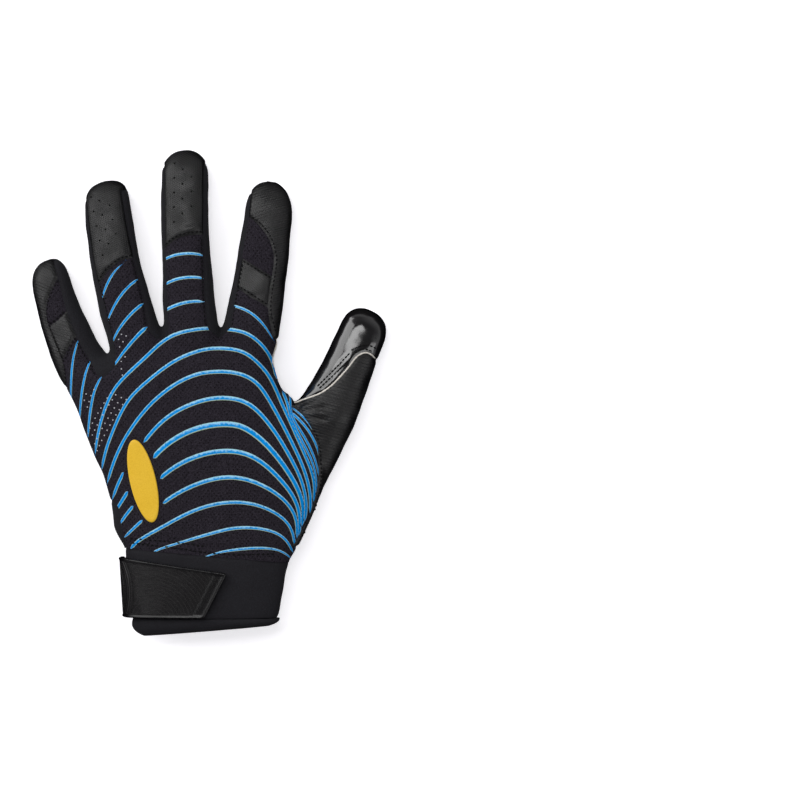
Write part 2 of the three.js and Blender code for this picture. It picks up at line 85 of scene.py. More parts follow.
def srgb(code: str) -> tuple[float, float, float, float]:
    """Turns a colour as seen on a screen into the linear one that a shader mixes.

    Args:
        code: The sRGB colour as six hex digits.

    Returns:
        Red, green, blue and alpha, linear.
    """
    values = []
    for start in (0, 2, 4):
        level = int(code[start:start + 2], 16) / 255
        values.append(level / 12.92 if level <= 0.04045 else ((level + 0.055) / 1.055) ** 2.4)
    return (*values, 1.0)


def smooth_between(stands: list[float], values: list[float], at: np.ndarray) -> np.ndarray:
    """Runs a smooth curve without overshoot through a column of a table.

    Args:
        stands: Where the rows stand, rising.
        values: The column's values there.
        at: Where the curve is wanted.

    Returns:
        The curve's values.
    """
    xs, ys = np.asarray(stands, float), np.asarray(values, float)
    step = np.diff(ys) / np.diff(xs)
    slope = np.zeros(len(xs))
    slope[0], slope[-1] = step[0], step[-1]
    for i in range(1, len(xs) - 1):
        if step[i - 1] * step[i] > 0:
            slope[i] = 2 * step[i - 1] * step[i] / (step[i - 1] + step[i])
    at = np.clip(np.asarray(at, float), xs[0], xs[-1])
    i = np.clip(np.searchsorted(xs, at) - 1, 0, len(xs) - 2)
    width = xs[i + 1] - xs[i]
    t = (at - xs[i]) / width
    return (
        (1 + 2 * t) * (1 - t) ** 2 * ys[i] + t * (1 - t) ** 2 * width * slope[i]
        + t * t * (3 - 2 * t) * ys[i + 1] + t * t * (t - 1) * width * slope[i + 1]
    )


def soften(points: np.ndarray, closed: bool, steps: int = 4, corner: float = 38.0) -> np.ndarray:
    """Rounds a drawn line into a curve that keeps its sharp corners.

    Args:
        points: The drawn points, one a row.
        closed: Whether the line comes back to its start.
        steps: New points for each drawn stretch.
        corner: The turn in degrees from which a point stays sharp.

    Returns:
        The points of the curve.
    """
    count = len(points)
    ahead = np.roll(points, -1, axis=0) - points
    behind = points - np.roll(points, 1, axis=0)
    turn = np.degrees(np.abs(
        (np.arctan2(ahead[:, 1], ahead[:, 0]) - np.arctan2(behind[:, 1], behind[:, 0]) + np.pi) % (2 * np.pi)
        - np.pi
    ))
    sharp = turn > corner
    if not closed:
        sharp[0] = sharp[-1] = True
    made = []
    for i in range(count if closed else count - 1):
        a, b = points[i], points[(i + 1) % count]
        before = a - (b - a) if sharp[i] else points[i - 1]
        after = b + (b - a) if sharp[(i + 1) % count] else points[(i + 2) % count]
        for t in np.arange(steps) / steps:
            made.append(0.5 * (
                2 * a + (b - before) * t + (2 * before - 5 * a + 4 * b - after) * t * t
                + (3 * a - before - 3 * b + after) * t ** 3
            ))
    if not closed:
        made.append(points[-1])
    return np.array(made)


def segment_distance(points: np.ndarray, a: np.ndarray, b: np.ndarray) -> tuple[np.ndarray, np.ndarray]:
    """Measures how far points lie from a row of straight segments.

    Args:
        points: The points, one a row.
        a: The segments' starts.
        b: The segments' ends.

    Returns:
        The distance of each point to each segment, and how far along the segment the nearest place is.
    """
    line = b - a
    length = np.maximum((line ** 2).sum(axis=1), 1e-9)
    share = ((points[:, None, :] - a[None]) * line[None]).sum(axis=2) / length[None]
    share = np.clip(share, 0, 1)
    near = a[None] + share[..., None] * line[None]
    return np.sqrt(((points[:, None, :] - near) ** 2).sum(axis=2)), share


def outline_distance(points: np.ndarray, outline: np.ndarray, reach: float = 5.0) -> np.ndarray:
    """Measures points against a closed outline: negative inside it, positive outside.

    Args:
        points: The points in plan, one a row.
        outline: The outline's corners.
        reach: How far round the outline's box points are measured.

    Returns:
        The signed distances, a millimetre more than the reach where a point is farther out.
    """
    result = np.full(len(points), reach + 1)
    low, high = outline.min(axis=0) - reach, outline.max(axis=0) + reach
    near = np.where(((points > low) & (points < high)).all(axis=1))[0]
    a, b = outline, np.roll(outline, -1, axis=0)
    for start in range(0, len(near), BATCH):
        rows = near[start:start + BATCH]
        here = points[rows]
        distance = segment_distance(here, a, b)[0].min(axis=1)
        x, y = here[:, 0][:, None], here[:, 1][:, None]
        spans = (a[:, 1] > y) != (b[:, 1] > y)
        rise = np.where(np.abs(b[:, 1] - a[:, 1]) < 1e-9, 1e-9, b[:, 1] - a[:, 1])
        crosses = spans & (x < (b[:, 0] - a[:, 0]) * (y - a[:, 1]) / rise + a[:, 0])
        inside = crosses.sum(axis=1) % 2 == 1
        result[rows] = np.where(inside, -distance, distance)
    return result


def rings_to_mesh(rings: list[np.ndarray], ends: Ends) -> BMesh:
    """Bridges a row of rings into one skin.

    Args:
        rings: The rings' points, all with the same number of points.
        ends: How the two ends are finished.

    Returns:
        The skin, with its faces turned outwards.
    """
    bm = bmesh.new()
    loops = []
    for ring in rings:
        circle = bmesh.ops.create_circle(bm, segments=len(ring), radius=1.0)["verts"]
        for vert, point in zip(circle, ring):
            vert.co = point
        loops.append(list({edge for vert in circle for edge in vert.link_edges}))
    pairs = list(zip(loops[:-1], loops[1:]))
    if ends is Ends.JOINED:
        pairs.append((loops[-1], loops[0]))
    for first, second in pairs:
        bmesh.ops.bridge_loops(bm, edges=first + second)
    if ends is Ends.CAPPED:
        for loop in (loops[0], loops[-1]):
            bmesh.ops.contextual_create(bm, geom=loop)
    bmesh.ops.recalc_face_normals(bm, faces=bm.faces)
    return bm


def cut_along(bm: BMesh, values: np.ndarray, done: bmesh.types.BMLayerItem | None = None,
              snap: float = 0.06) -> None:
    """Adds a row of edges where a value given at each vertex passes through zero.

    Args:
        bm: The mesh to cut.
        values: The value at each vertex, in the mesh's order.
        done: A face layer; where both faces of an edge have it set, the edge isn't cut.
        snap: The value below which a vertex counts as lying on the cut.
    """
    level = values.tolist()
    bm.verts.index_update()
    crossing, touched = [], [vert for vert in bm.verts if abs(level[vert.index]) <= snap]
    for edge in bm.edges:
        a, b = edge.verts
        one, two = level[a.index], level[b.index]
        if (one < -snap and two > snap) or (one > snap and two < -snap):
            if done is None or not all(face[done] for face in edge.link_faces):
                crossing.append((edge, a, one / (one - two)))
    for edge, vert, share in crossing:
        touched.append(bmesh.utils.edge_split(edge, vert, share)[1])
    if touched:
        bmesh.ops.connect_verts(bm, verts=touched)


def places(bm: BMesh) -> np.ndarray:
    """Gives the places of a mesh's vertices, one a row."""
    return np.array([vert.co[:] for vert in bm.verts])


def face_places(bm: BMesh) -> np.ndarray:
    """Gives the middles of a mesh's faces in plan, one a row."""
    return np.array([face.calc_center_median()[:2] for face in bm.faces])


def drop_faces(bm: BMesh, chosen: np.ndarray) -> None:
    """Takes faces out of a mesh; the array says True for each of them."""
    faces = [face for face, goes in zip(bm.faces, chosen) if goes]
    bmesh.ops.delete(bm, geom=faces, context="FACES")


def unit_rows(rows: np.ndarray) -> np.ndarray:
    """Gives each row of an array the length of one."""
    return rows / np.maximum(np.linalg.norm(rows, axis=1, keepdims=True), 1e-9)


def run_along(line: np.ndarray) -> np.ndarray:
    """Gives how far along a line in plan each of its points lies."""
    return np.concatenate([[0], np.cumsum(np.hypot(*np.diff(line, axis=0).T))])


def merge_into(target: BMesh, source: BMesh) -> None:
    """Adds one mesh to another and frees it.

    Args:
        target: The mesh that grows.
        source: The mesh that is added.
    """
    carrier = bpy.data.meshes.new("carrier")
    source.to_mesh(carrier)
    source.free()
    target.from_mesh(carrier)
    bpy.data.meshes.remove(carrier)


def finish_piece(name: str, bm: BMesh, finishes: list[Material], wall: float = 0.0,
                 crease: float = 48.0) -> bpy.types.Object:
    """Turns a mesh on the chart into a finished piece in the frame.

    Args:
        name: The piece's name.
        bm: Its mesh in chart millimetres, which is freed.
        finishes: Its materials; the last is the inside's where a wall is given.
        wall: The thickness that the skin gets inwards, in millimetres.
        crease: The turn in degrees from which an edge is shown sharp.

    Returns:
        The new object.
    """
    bm.transform(Matrix.Scale(0.001, 4) @ Matrix.Translation(CHART_TO_FRAME))
    mesh = bpy.data.meshes.new(name)
    bm.to_mesh(mesh)
    bm.free()
    piece = bpy.data.objects.new(name, mesh)
    bpy.context.scene.collection.objects.link(piece)
    for finish in finishes:
        mesh.materials.append(finish)
    if wall:
        shell = piece.modifiers.new("wall", "SOLIDIFY")
        shell.thickness = wall / 1000
        shell.offset = -1
        shell.material_offset = len(finishes) - 1
        shell.material_offset_rim = 0
        bpy.context.view_layer.update()
        walled = bpy.data.meshes.new_from_object(piece.evaluated_get(bpy.context.evaluated_depsgraph_get()))
        piece.modifiers.clear()
        piece.data = walled
        bpy.data.meshes.remove(mesh)
        walled.name = name
    shaded = bmesh.new()
    shaded.from_mesh(piece.data)
    for face in shaded.faces:
        face.smooth = True
    for edge in shaded.edges:
        if len(edge.link_faces) == 2 and edge.calc_face_angle(0) > math.radians(crease):
            edge.smooth = False
    shaded.to_mesh(piece.data)
    shaded.free()
    return piece


def place_piece(piece: bpy.types.Object, slot: str, *nodes: str) -> None:
    """Fastens a finished piece to the glove, hides the solids that it replaces and logs its faces.

    Args:
        piece: The piece.
        slot: Not used.
        nodes: The solids that it replaces.
    """
    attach(piece, "root")
    if nodes:
        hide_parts(*nodes)
    LOG.info("%s: %d faces", piece.name, len(piece.data.polygons))


# Finishes


SMOOTHLY = {"interpolation_type": "SMOOTHSTEP"}
IN_COLOUR = {"data_type": "RGBA", "output": 2}
# A Wave node of scale 1 repeats after this length.
WAVE_LENGTH = 0.314


def add_node(tree: Tree, kind: str, inputs: tuple[object, ...] | dict[str | int, object] = (),
             output: str | int = 0, **settings: object) -> Socket | None:
    """Adds a shader node, sets it up, links it and gives one of its outputs.

    Args:
        tree: The node tree that grows.
        kind: The node's type, without the words that all types start with.
        inputs: A value or another node's output for each input, in turn or by name or number.
        output: The wanted output, by name or number.
        settings: The node's own settings.

    Returns:
        The wanted output, or None where the node has none.
    """
    node = tree.nodes.new("ShaderNode" + kind)
    for key, value in settings.items():
        setattr(node, key, value)
    for key, value in inputs.items() if isinstance(inputs, dict) else enumerate(inputs):
        if isinstance(value, Socket):
            tree.links.new(value, node.inputs[key])
        else:
            node.inputs[key].default_value = value
    return node.outputs[output] if node.outputs else None


@dataclass(frozen=True)
class Finish:
    """What the finishes have in common: one principled surface with a bump.

    A field named for a lump of cloth or grain says how many of them there are in a millimetre. A pitch,
    cell, rib or depth is in millimetres.
    """

    name: str
    colour: str
    roughness: float
    sheen: float = 0.0
    coat: float = 0.0
    specular: float = 0.5

    def start(self) -> tuple[Material, Tree, Socket]:
        """Starts the material.

        Returns:
            The material, its tree and its Object coordinates in millimetres.
        """
        material = bpy.data.materials.new(self.name)
        material.use_nodes = True
        tree = material.node_tree
        tree.nodes.clear()
        metres = add_node(tree, "TexCoord", output="Object")
        place = add_node(tree, "VectorMath", (metres, (1000, 1000, 1000)), operation="MULTIPLY")
        return material, tree, place

    def cover(self, tree: Tree, height: Socket, depth: float, looks: dict[str, object]) -> None:
        """Closes the material with its principled surface, raised by a height.

        Args:
            tree: The material's node tree.
            height: The height's socket, from 0 to 1.
            depth: What a height of 1 stands for, in millimetres.
            looks: The surface's inputs that follow a pattern.
        """
        raised = add_node(tree, "Bump", {"Height": height, "Distance": depth / 1000, "Strength": 1.0})
        skin = add_node(tree, "BsdfPrincipled", {
            "Roughness": self.roughness, "Metallic": 0.0, "Sheen Weight": self.sheen, "Sheen Roughness": 0.5,
            "Coat Weight": self.coat, "Coat Roughness": 0.05, "Specular IOR Level": self.specular,
            "Normal": raised, **looks,
        })
        add_node(tree, "OutputMaterial", (skin,))


@dataclass(frozen=True)
class KnitFinish(Finish):
    """Warp-knitted polyester with sublimated ink: matt, with rows of small vent pits in painted shade and a
    soft nap.

    The ink follows three values kept on the cloth: the distance to the nearest stripe's middle, the
    stripe's half width, and how far the stripe has faded to its pale tone.
    """

    nap: str = "332F37"
    pit_shade: str = "060507"
    deep_blue: str = "0091E6"
    pale_blue: str = "98D7FA"
    upper_edge: str = "B0DAD8"
    lower_edge: str = "BCCD90"
    pit_shade_blue: str = "0B4E96"
    pit_pitch: float = 2.1
    row_pitch: float = 2.625
    wander: float = 0.9
    fray: float = 0.22
    depth: float = 0.22

    def build(self) -> Material:
        """Makes the material.

        Returns:
            The material.
        """
        material, tree, place = self.start()
        wobble, scatter, fibre, streak = (
            add_node(tree, "TexNoise", {"Vector": place, "Scale": scale, "Detail": detail})
            for scale, detail in ((0.35, 1.0), (0.62, 0.0), (1.8, 3.0), (0.7, 2.0)))
        loops = add_node(tree, "TexWave", {
            "Vector": place, "Scale": 0.55, "Distortion": 1.4, "Detail": 1.0}, 1, bands_direction="X")
        pits = add_node(tree, "MapRange", (scatter, 0.38, 0.56), **SMOOTHLY)
        axes = add_node(tree, "SeparateXYZ", (place,)).node.outputs
        grid = 1.0
        for axis, pitch in ((axes[0], self.pit_pitch), (axes[1], self.row_pitch)):
            bent = add_node(tree, "Math", (wobble, self.wander, axis), operation="MULTIPLY_ADD")
            angle = add_node(tree, "Math", (bent, 2 * math.pi / pitch), operation="MULTIPLY")
            wave = add_node(tree, "Math", (angle,), operation="COSINE")
            grid = add_node(tree, "Math", (wave, grid), operation="MULTIPLY")
        grid = add_node(tree, "MapRange", (grid, 0.42, 0.85), **SMOOTHLY)
        pits = add_node(tree, "Math", (pits, grid), operation="MULTIPLY")
        # The pits darken both the cloth and the ink: painted shade in the vent holes.
        dark, ink_pit_shade, height = (add_node(tree, "Math", (pits, share), operation="MULTIPLY")
                               for share in (0.85, 0.35, -0.6))
        for pattern, share in ((loops, 0.25), (fibre, 0.5)):
            height = add_node(tree, "Math", (pattern, share, height), operation="MULTIPLY_ADD")
        # Where the ink lies: its edge frays with the fibre, and each stripe has a pale and a green rim.
        side, half, fade = (add_node(tree, "Attribute", output="Fac", attribute_name=name)
                            for name in ("ink_side", "ink_half", "ink_fade"))
        uneven = add_node(tree, "Math", (fibre, 0.5), operation="SUBTRACT")
        frayed = add_node(tree, "Math", (uneven, self.fray, side), operation="MULTIPLY_ADD")
        off = add_node(tree, "Math", (frayed,), operation="ABSOLUTE")
        reach = add_node(tree, "Math", (half, off), operation="SUBTRACT")
        printed = add_node(tree, "MapRange", (reach, -0.06, 0.1), **SMOOTHLY)
        width = add_node(tree, "Math", (half, 0.2), operation="MAXIMUM")
        level = add_node(tree, "Math", (frayed, width), operation="DIVIDE")
        upper = add_node(tree, "MapRange", (level, 0.58, 0.9, 0.0, 0.75), **SMOOTHLY)
        lower = add_node(tree, "MapRange", (level, -0.88, -0.5, 0.85, 0.0), **SMOOTHLY)
        for pattern, share in ((streak, 1.8), (fade, 1.2)):
            level = add_node(tree, "Math", (pattern, share, level), operation="MULTIPLY_ADD")
        pale = add_node(tree, "MapRange", (level, 1.83, 2.73), **SMOOTHLY)
        worn = add_node(tree, "MapRange", (fibre, 0.36, 0.72), **SMOOTHLY)
        cloth, ink = srgb(self.colour), srgb(self.deep_blue)
        for share, shade in ((worn, self.nap), (dark, self.pit_shade)):
            cloth = add_node(tree, "Mix", {0: share, 6: cloth, 7: srgb(shade)}, **IN_COLOUR)
        for share, shade in ((pale, self.pale_blue), (upper, self.upper_edge), (lower, self.lower_edge),
                             (ink_pit_shade, self.pit_shade_blue)):
            ink = add_node(tree, "Mix", {0: share, 6: ink, 7: srgb(shade)}, **IN_COLOUR)
        colour = add_node(tree, "Mix", {0: printed, 6: cloth, 7: ink}, **IN_COLOUR)
        self.cover(tree, height, self.depth, {"Base Color": colour})
        return material


@dataclass(frozen=True)
class StretchClothFinish(Finish):
    """Plain elastane jersey or webbing: an even matt black with a very fine rib and a faint nap."""

    nap: str = "222227"
    fibre: float = 1.8
    rib: float = 0.8
    depth: float = 0.06

    def build(self) -> Material:
        """Makes the material.

        Returns:
            The material.
        """
        material, tree, place = self.start()
        fibre = add_node(tree, "TexNoise", {"Vector": place, "Scale": self.fibre, "Detail": 3.0})
        rib = add_node(tree, "TexWave", {
            "Vector": place, "Scale": WAVE_LENGTH / self.rib, "Distortion": 0.6}, 1, bands_direction="X")
        worn = add_node(tree, "MapRange", (fibre, 0.3, 0.8), **SMOOTHLY)
        colour = add_node(tree, "Mix", {0: worn, 6: srgb(self.colour), 7: srgb(self.nap)}, **IN_COLOUR)
        height = add_node(tree, "Math", (fibre, 0.7, rib), operation="MULTIPLY_ADD")
        self.cover(tree, height, self.depth, {"Base Color": colour})
        return material


@dataclass(frozen=True)
class LeatherFinish(Finish):
    """Embossed polyurethane leather: satin black with a honeycomb or ribs, with painted shade in the emboss's
    hollows.
    """

    painted_valley_shade: str = "050506"
    cell: float = 1.05
    slant: float = 0.0
    ribbed: float = 0.0
    depth: float = 0.16

    def build(self) -> Material:
        """Makes the material.

        Returns:
            The material.
        """
        material, tree, place = self.start()
        turned = add_node(tree, "Mapping", {"Vector": place, "Rotation": (0, 0, math.radians(self.slant))})
        axes = add_node(tree, "SeparateXYZ", (turned,)).node.outputs
        grain, broad = (add_node(tree, "TexNoise", {"Vector": place, "Scale": scale, "Detail": detail})
                        for scale, detail in ((1.3, 4.0), (0.12, 1.0)))
        waves = []
        for axis, pitch in ((axes[0], self.cell * 1.73), (axes[1], self.cell), (axes[1], self.cell / 0.72)):
            angle = add_node(tree, "Math", (axis, 2 * math.pi / pitch), operation="MULTIPLY")
            waves.append(add_node(tree, "Math", (angle,), operation="COSINE"))
        cells = add_node(tree, "Math", (waves[0], waves[1]), operation="MULTIPLY")
        height = add_node(tree, "Math", (grain, 0.15), operation="MULTIPLY")
        for pattern, foot, top, share in ((cells, -0.5, 0.35, 1 - 0.55 * self.ribbed),
                                          (waves[2], -0.7, 0.5, self.ribbed)):
            crown = add_node(tree, "MapRange", (pattern, foot, top, 0.0, share), **SMOOTHLY)
            height = add_node(tree, "Math", (height, crown), operation="ADD")
        # The colour follows the emboss's height: its hollows get a painted shade, its crowns the leather's
        # black.
        unshaded_share = add_node(tree, "MapRange", (height, 0.3, 1.3), **SMOOTHLY)
        colour = add_node(tree, "Mix", {0: unshaded_share, 6: srgb(self.painted_valley_shade), 7: srgb(self.colour)}, **IN_COLOUR)
        shine = add_node(tree, "MapRange", (broad, 0.3, 0.7, self.roughness - 0.08, self.roughness + 0.12),
                         **SMOOTHLY)
        self.cover(tree, height, self.depth, {"Base Color": colour, "Roughness": shine})
        return material


@dataclass(frozen=True)
class GripFinish(Finish):
    """Screen-printed silicone on leather: near-black, glossy and sticky, with a low orange-peel waviness."""

    haze: str = "1C1B1D"
    peel: float = 0.35
    smear: float = 0.08
    coat_roughness: float = 0.14
    depth: float = 0.05
    cell: float = 0.0

    def build(self) -> Material:
        """Makes the material.

        Returns:
            The material.
        """
        material, tree, place = self.start()
        peel, smear = (add_node(tree, "TexNoise", {"Vector": place, "Scale": scale, "Detail": 2.0})
                       for scale in (self.peel, self.smear))
        height = peel
        if self.cell:
            spots = add_node(tree, "TexVoronoi", {
                "Vector": place, "Scale": 1 / self.cell, "Randomness": 0.25}, "Distance")
            domes = add_node(tree, "MapRange", (spots, 0.3, 0.42, 1.0, 0.0), **SMOOTHLY)
            height = add_node(tree, "Math", (peel, domes), operation="ADD")
        shine = add_node(tree, "MapRange", (smear, 0.35, 0.7, self.roughness, self.roughness + 0.12),
                         **SMOOTHLY)
        film = add_node(tree, "Mix", {0: smear, 6: srgb(self.colour), 7: srgb(self.haze)}, **IN_COLOUR)
        self.cover(tree, height, self.depth, {
            "Base Color": film, "Roughness": shine, "Coat Roughness": self.coat_roughness})
        return material


@dataclass(frozen=True)
class MouldedTabFinish(Finish):
    """Injection-moulded thermoplastic rubber: satin black, with thin raised lines in a painted highlight and
    a fine spark grain.
    """

    crest_highlight: str = "2C2A2B"
    spark: float = 4.0
    depth: float = 0.3

    def build(self) -> Material:
        """Makes the material.

        Returns:
            The material.
        """
        material, tree, place = self.start()
        line = add_node(tree, "Attribute", output="Fac", attribute_name="relief")
        raised = 0.0
        # One bold line, and three fine ones that stand 0.3 as high.
        for pace, top, foot, share in ((1.0, 0.04, 0.13, 1.0), (3.0, 0.1, 0.3, 0.3)):
            lines = add_node(tree, "Math", (line, pace), operation="MULTIPLY")
            off = add_node(tree, "Math", (lines, 0.5), operation="PINGPONG")
            ridge = add_node(tree, "MapRange", (off, top, foot, share, 0.0), **SMOOTHLY)
            raised = add_node(tree, "Math", (ridge, raised), operation="MAXIMUM")
        spark = add_node(tree, "TexNoise", {"Vector": place, "Scale": self.spark, "Detail": 2.0})
        # The raised lines are coloured lighter: a painted highlight where they catch the light.
        rubber = add_node(tree, "Mix", {0: raised, 6: srgb(self.colour), 7: srgb(self.crest_highlight)}, **IN_COLOUR)
        shine = add_node(tree, "MapRange", (spark, 0.3, 0.7, self.roughness - 0.06, self.roughness + 0.08),
                         **SMOOTHLY)
        height = add_node(tree, "Math", (spark, 0.12, raised), operation="MULTIPLY_ADD")
        self.cover(tree, height, self.depth, {"Base Color": rubber, "Roughness": shine})
        return material


@dataclass(frozen=True)
class PlainFinish(Finish):
    """A small part's own finish, with a faint unevenness: thread, raw edge or heat-pressed film."""

    second: str = "000000"
    grain: float = 2.5
    depth: float = 0.04
    glow: float = 0.0

    def build(self) -> Material:
        """Makes the material.

        Returns:
            The material.
        """
        material, tree, place = self.start()
        grain = add_node(tree, "TexNoise", {"Vector": place, "Scale": self.grain, "Detail": 3.0})
        share = add_node(tree, "MapRange", (grain, 0.35, 0.7), **SMOOTHLY)
        colour = add_node(tree, "Mix", {0: share, 6: srgb(self.colour), 7: srgb(self.second)}, **IN_COLOUR)
        self.cover(tree, grain, self.depth, {
            "Base Color": colour, "Emission Color": srgb(self.colour), "Emission Strength": self.glow})
        return material


# The hand's chart


@dataclass(frozen=True)
class Finger:
    """One finger on the chart.

    Its root's place and width and the length buried in the hand are shares of the hand's width and
    length; the other lengths are in millimetres. A low tip power makes the tip pointed.
    """

    root_across: float
    root_up: float
    splay: float
    length: float
    root_share: float
    tip_width: float
    root_height: float
    tip_height: float
    bow: float
    flare: float
    buried_share: float
    taper: float
    tip_round: float = 12.0
    tip_power: float = 2.3


@dataclass(frozen=True)
class HandRow:
    """One section across the hand, in shares of its length, width and height."""

    up: float
    left: float
    right: float
    height: float
    lift: float


@dataclass(frozen=True)
class HandChart:
    """Where everything on the glove lies, seen from above."""

    knuckle_width: float = 101.0
    hand_length: float = 111.0
    hand_height: float = 27.0
    cuff_top_width: float = 82.0
    cuff_bottom_width: float = 75.0
    cuff_height: float = 24.0
    cuff_depth: float = 32.0
    cuff_room: float = 1.8
    cuff_sway: float = -1.5
    hem_shift: float = 1.5
    wrist_across: float = 0.0855
    seam_lean: float = -0.09
    roundness: float = 2.5
    belly_share: float = 0.42
    pressed_share: float = 1.12
    least_reach: float = 0.15
    fingers: dict[str, Finger] = field(default_factory=lambda: {
        "little": Finger(-0.52, 0.833, -19.5, 58.5, 0.267, 18.5, 18, 13, -2.6, 1.5, 0.126, 0.8),
        "ring": Finger(-0.262, 0.946, -11, 83.5, 0.277, 23, 20, 14, -3, 1.3, 0.18, 0.8),
        "middle": Finger(0.008, 1.004, -2.2, 91.5, 0.277, 23.6, 21, 14.5, -1.3, 3, 0.216, 0.8, 12, 1.8),
        "index": Finger(0.296, 0.986, 7.7, 78.5, 0.282, 23.4, 20.5, 14.5, 1.2, 1.5, 0.198, 0.8, 16, 2),
        "thumb": Finger(0.668, 0.62, 23.5, 57.8, 0.307, 23, 22, 15.5, 1, 2, 0.36, 0.22),
    })
    rows: tuple[HandRow, ...] = (
        HandRow(0.0, -0.3205, 0.4915, 0.889, 1.0),
        HandRow(0.104, -0.376, 0.562, 0.93, 0.4),
        HandRow(0.216, -0.388, 0.621, 0.97, 0.0),
        HandRow(0.329, -0.416, 0.668, 1.0, 0.0),
        HandRow(0.441, -0.47, 0.673, 1.0, 0.0),
        HandRow(0.554, -0.52, 0.624, 0.98, 0.0),
        HandRow(0.667, -0.566, 0.545, 0.95, 0.0),
        HandRow(0.757, -0.614, 0.446, 0.91, 0.0),
        HandRow(0.847, -0.645, 0.416, 0.84, 0.0),
        HandRow(0.88, -0.43, 0.4, 0.76, 0.0),
        HandRow(0.95, -0.36, 0.36, 0.6, 0.0),
        HandRow(1.0, -0.21, 0.21, 0.46, 0.0),
    )

    def width(self, finger: Finger, share: float) -> float:
        """Gives a finger's full width at a share of its length.

        Args:
            finger: The finger.
            share: The share, below 0 inside the hand.

        Returns:
            The width in millimetres.
        """
        root = finger.root_share * self.knuckle_width
        if share < 0:
            return root * (1 + finger.taper * share)
        return finger.tip_width + (root - finger.tip_width) * (1 - min(share, 1)) ** finger.flare

    def on_finger(self, finger: Finger, share: float, sideways: float) -> np.ndarray:
        """Gives the chart place beside a finger's middle line.

        Args:
            finger: The finger.
            share: The share of its length.
            sideways: The distance towards the thumb's side.

        Returns:
            The place in plan.
        """
        splay = math.radians(finger.splay)
        inside = min(max(share, 0), 1)
        sideways += finger.bow * 4 * inside * (1 - inside)
        run = share * finger.length
        return np.array([
            finger.root_across * self.knuckle_width + math.sin(splay) * run + math.cos(splay) * sideways,
            finger.root_up * self.hand_length + math.cos(splay) * run - math.sin(splay) * sideways,
        ])

    def column(self, name: str, up: float) -> float:
        """Reads one column of the hand's sections, smoothed, at a share of the hand's length."""
        return float(smooth_between([row.up for row in self.rows], [getattr(row, name) for row in self.rows],
                                    np.array([up]))[0])

    def place(self, part: str, along: float, across: float) -> np.ndarray:
        """Gives the chart place of one corner of an outline.

        Args:
            part: A finger's name, or hand.
            along: The share of the part's length.
            across: The share of its half width.

        Returns:
            The place in plan.
        """
        if part != "hand":
            finger = self.fingers[part]
            return self.on_finger(finger, along, across * self.width(finger, along) / 2)
        left = self.column("left", along) * self.knuckle_width
        right = self.column("right", along) * self.knuckle_width
        return np.array([(left + right) / 2 + across * (right - left) / 2, along * self.hand_length])

    def points(self, corners: list[tuple[str, float, float]]) -> np.ndarray:
        """Gives the chart places of drawn corners, one a row."""
        return np.array([self.place(*corner) for corner in corners])

    def section(self, middle: np.ndarray, across: np.ndarray, half: float, floor: float, height: float,
                lean: float = 0.0, grow: float = 0.0, sides: int = 56) -> np.ndarray:
        """Draws a ring round a flattened tube that lies on the floor.

        Args:
            middle: The ring's middle in plan.
            across: The unit direction across it.
            half: Its half width.
            floor: The height of its underside.
            height: Its height.
            lean: How much its far side is moved along the glove for each millimetre across.
            grow: How far it is grown all round.
            sides: The number of points.

        Returns:
            The ring's points, one a row.
        """
        turn = np.arange(sides) * 2 * math.pi / sides
        power = 2 / self.roundness
        out = np.sign(np.cos(turn)) * np.abs(np.cos(turn)) ** power
        rise = np.sign(np.sin(turn)) * np.abs(np.sin(turn)) ** power
        belly = self.belly_share * height
        side = out * max(half + grow, self.least_reach)
        reach = np.where(rise > 0, height - belly, self.pressed_share * belly) + grow
        z = np.maximum(floor + belly + rise * np.maximum(reach, self.least_reach), floor - grow)
        return np.stack([middle[0] + across[0] * side, middle[1] + across[1] * side + lean * side, z], axis=1)

    def cuff_ring(self, depth: float, lean: float = 0.0, grow: float = 0.0, narrowing: float = 0.0,
                  sides: int = 120) -> np.ndarray:
        """Draws the cuff's ring at a depth below the wrist seam.

        Args:
            depth: The depth.
            lean: The ring's lean along the glove.
            grow: How far it is grown all round.
            narrowing: How far it is drawn in, as the hem is.
            sides: The number of points.

        Returns:
            The ring's points.
        """
        share = depth / self.cuff_depth
        width = self.cuff_top_width + (self.cuff_bottom_width - self.cuff_top_width) * share - 2 * narrowing
        shift = self.cuff_sway * share + (self.hem_shift if narrowing else 0)
        middle = np.array([self.wrist_across * self.knuckle_width + shift, -depth])
        return self.section(middle, np.array([1.0, 0.0]), width / 2, self.cuff_room + narrowing,
                            self.cuff_height - 2 * narrowing, lean, grow, sides)


def on(part: str, *rows: float) -> list[tuple[str, float, float]]:
    """Lists corners on a finger or the hand, from their shares along and across it in turn."""
    return [(part, rows[i], rows[i + 1]) for i in range(0, len(rows), 2)]


@dataclass(frozen=True)
class Outline:
    """The drawn edge of a panel, seen from above."""

    corners: list[tuple[str, float, float]]

    def drawn(self, chart: HandChart) -> np.ndarray:
        """Gives the outline's rounded points on a chart."""
        return soften(chart.points(self.corners), closed=True)


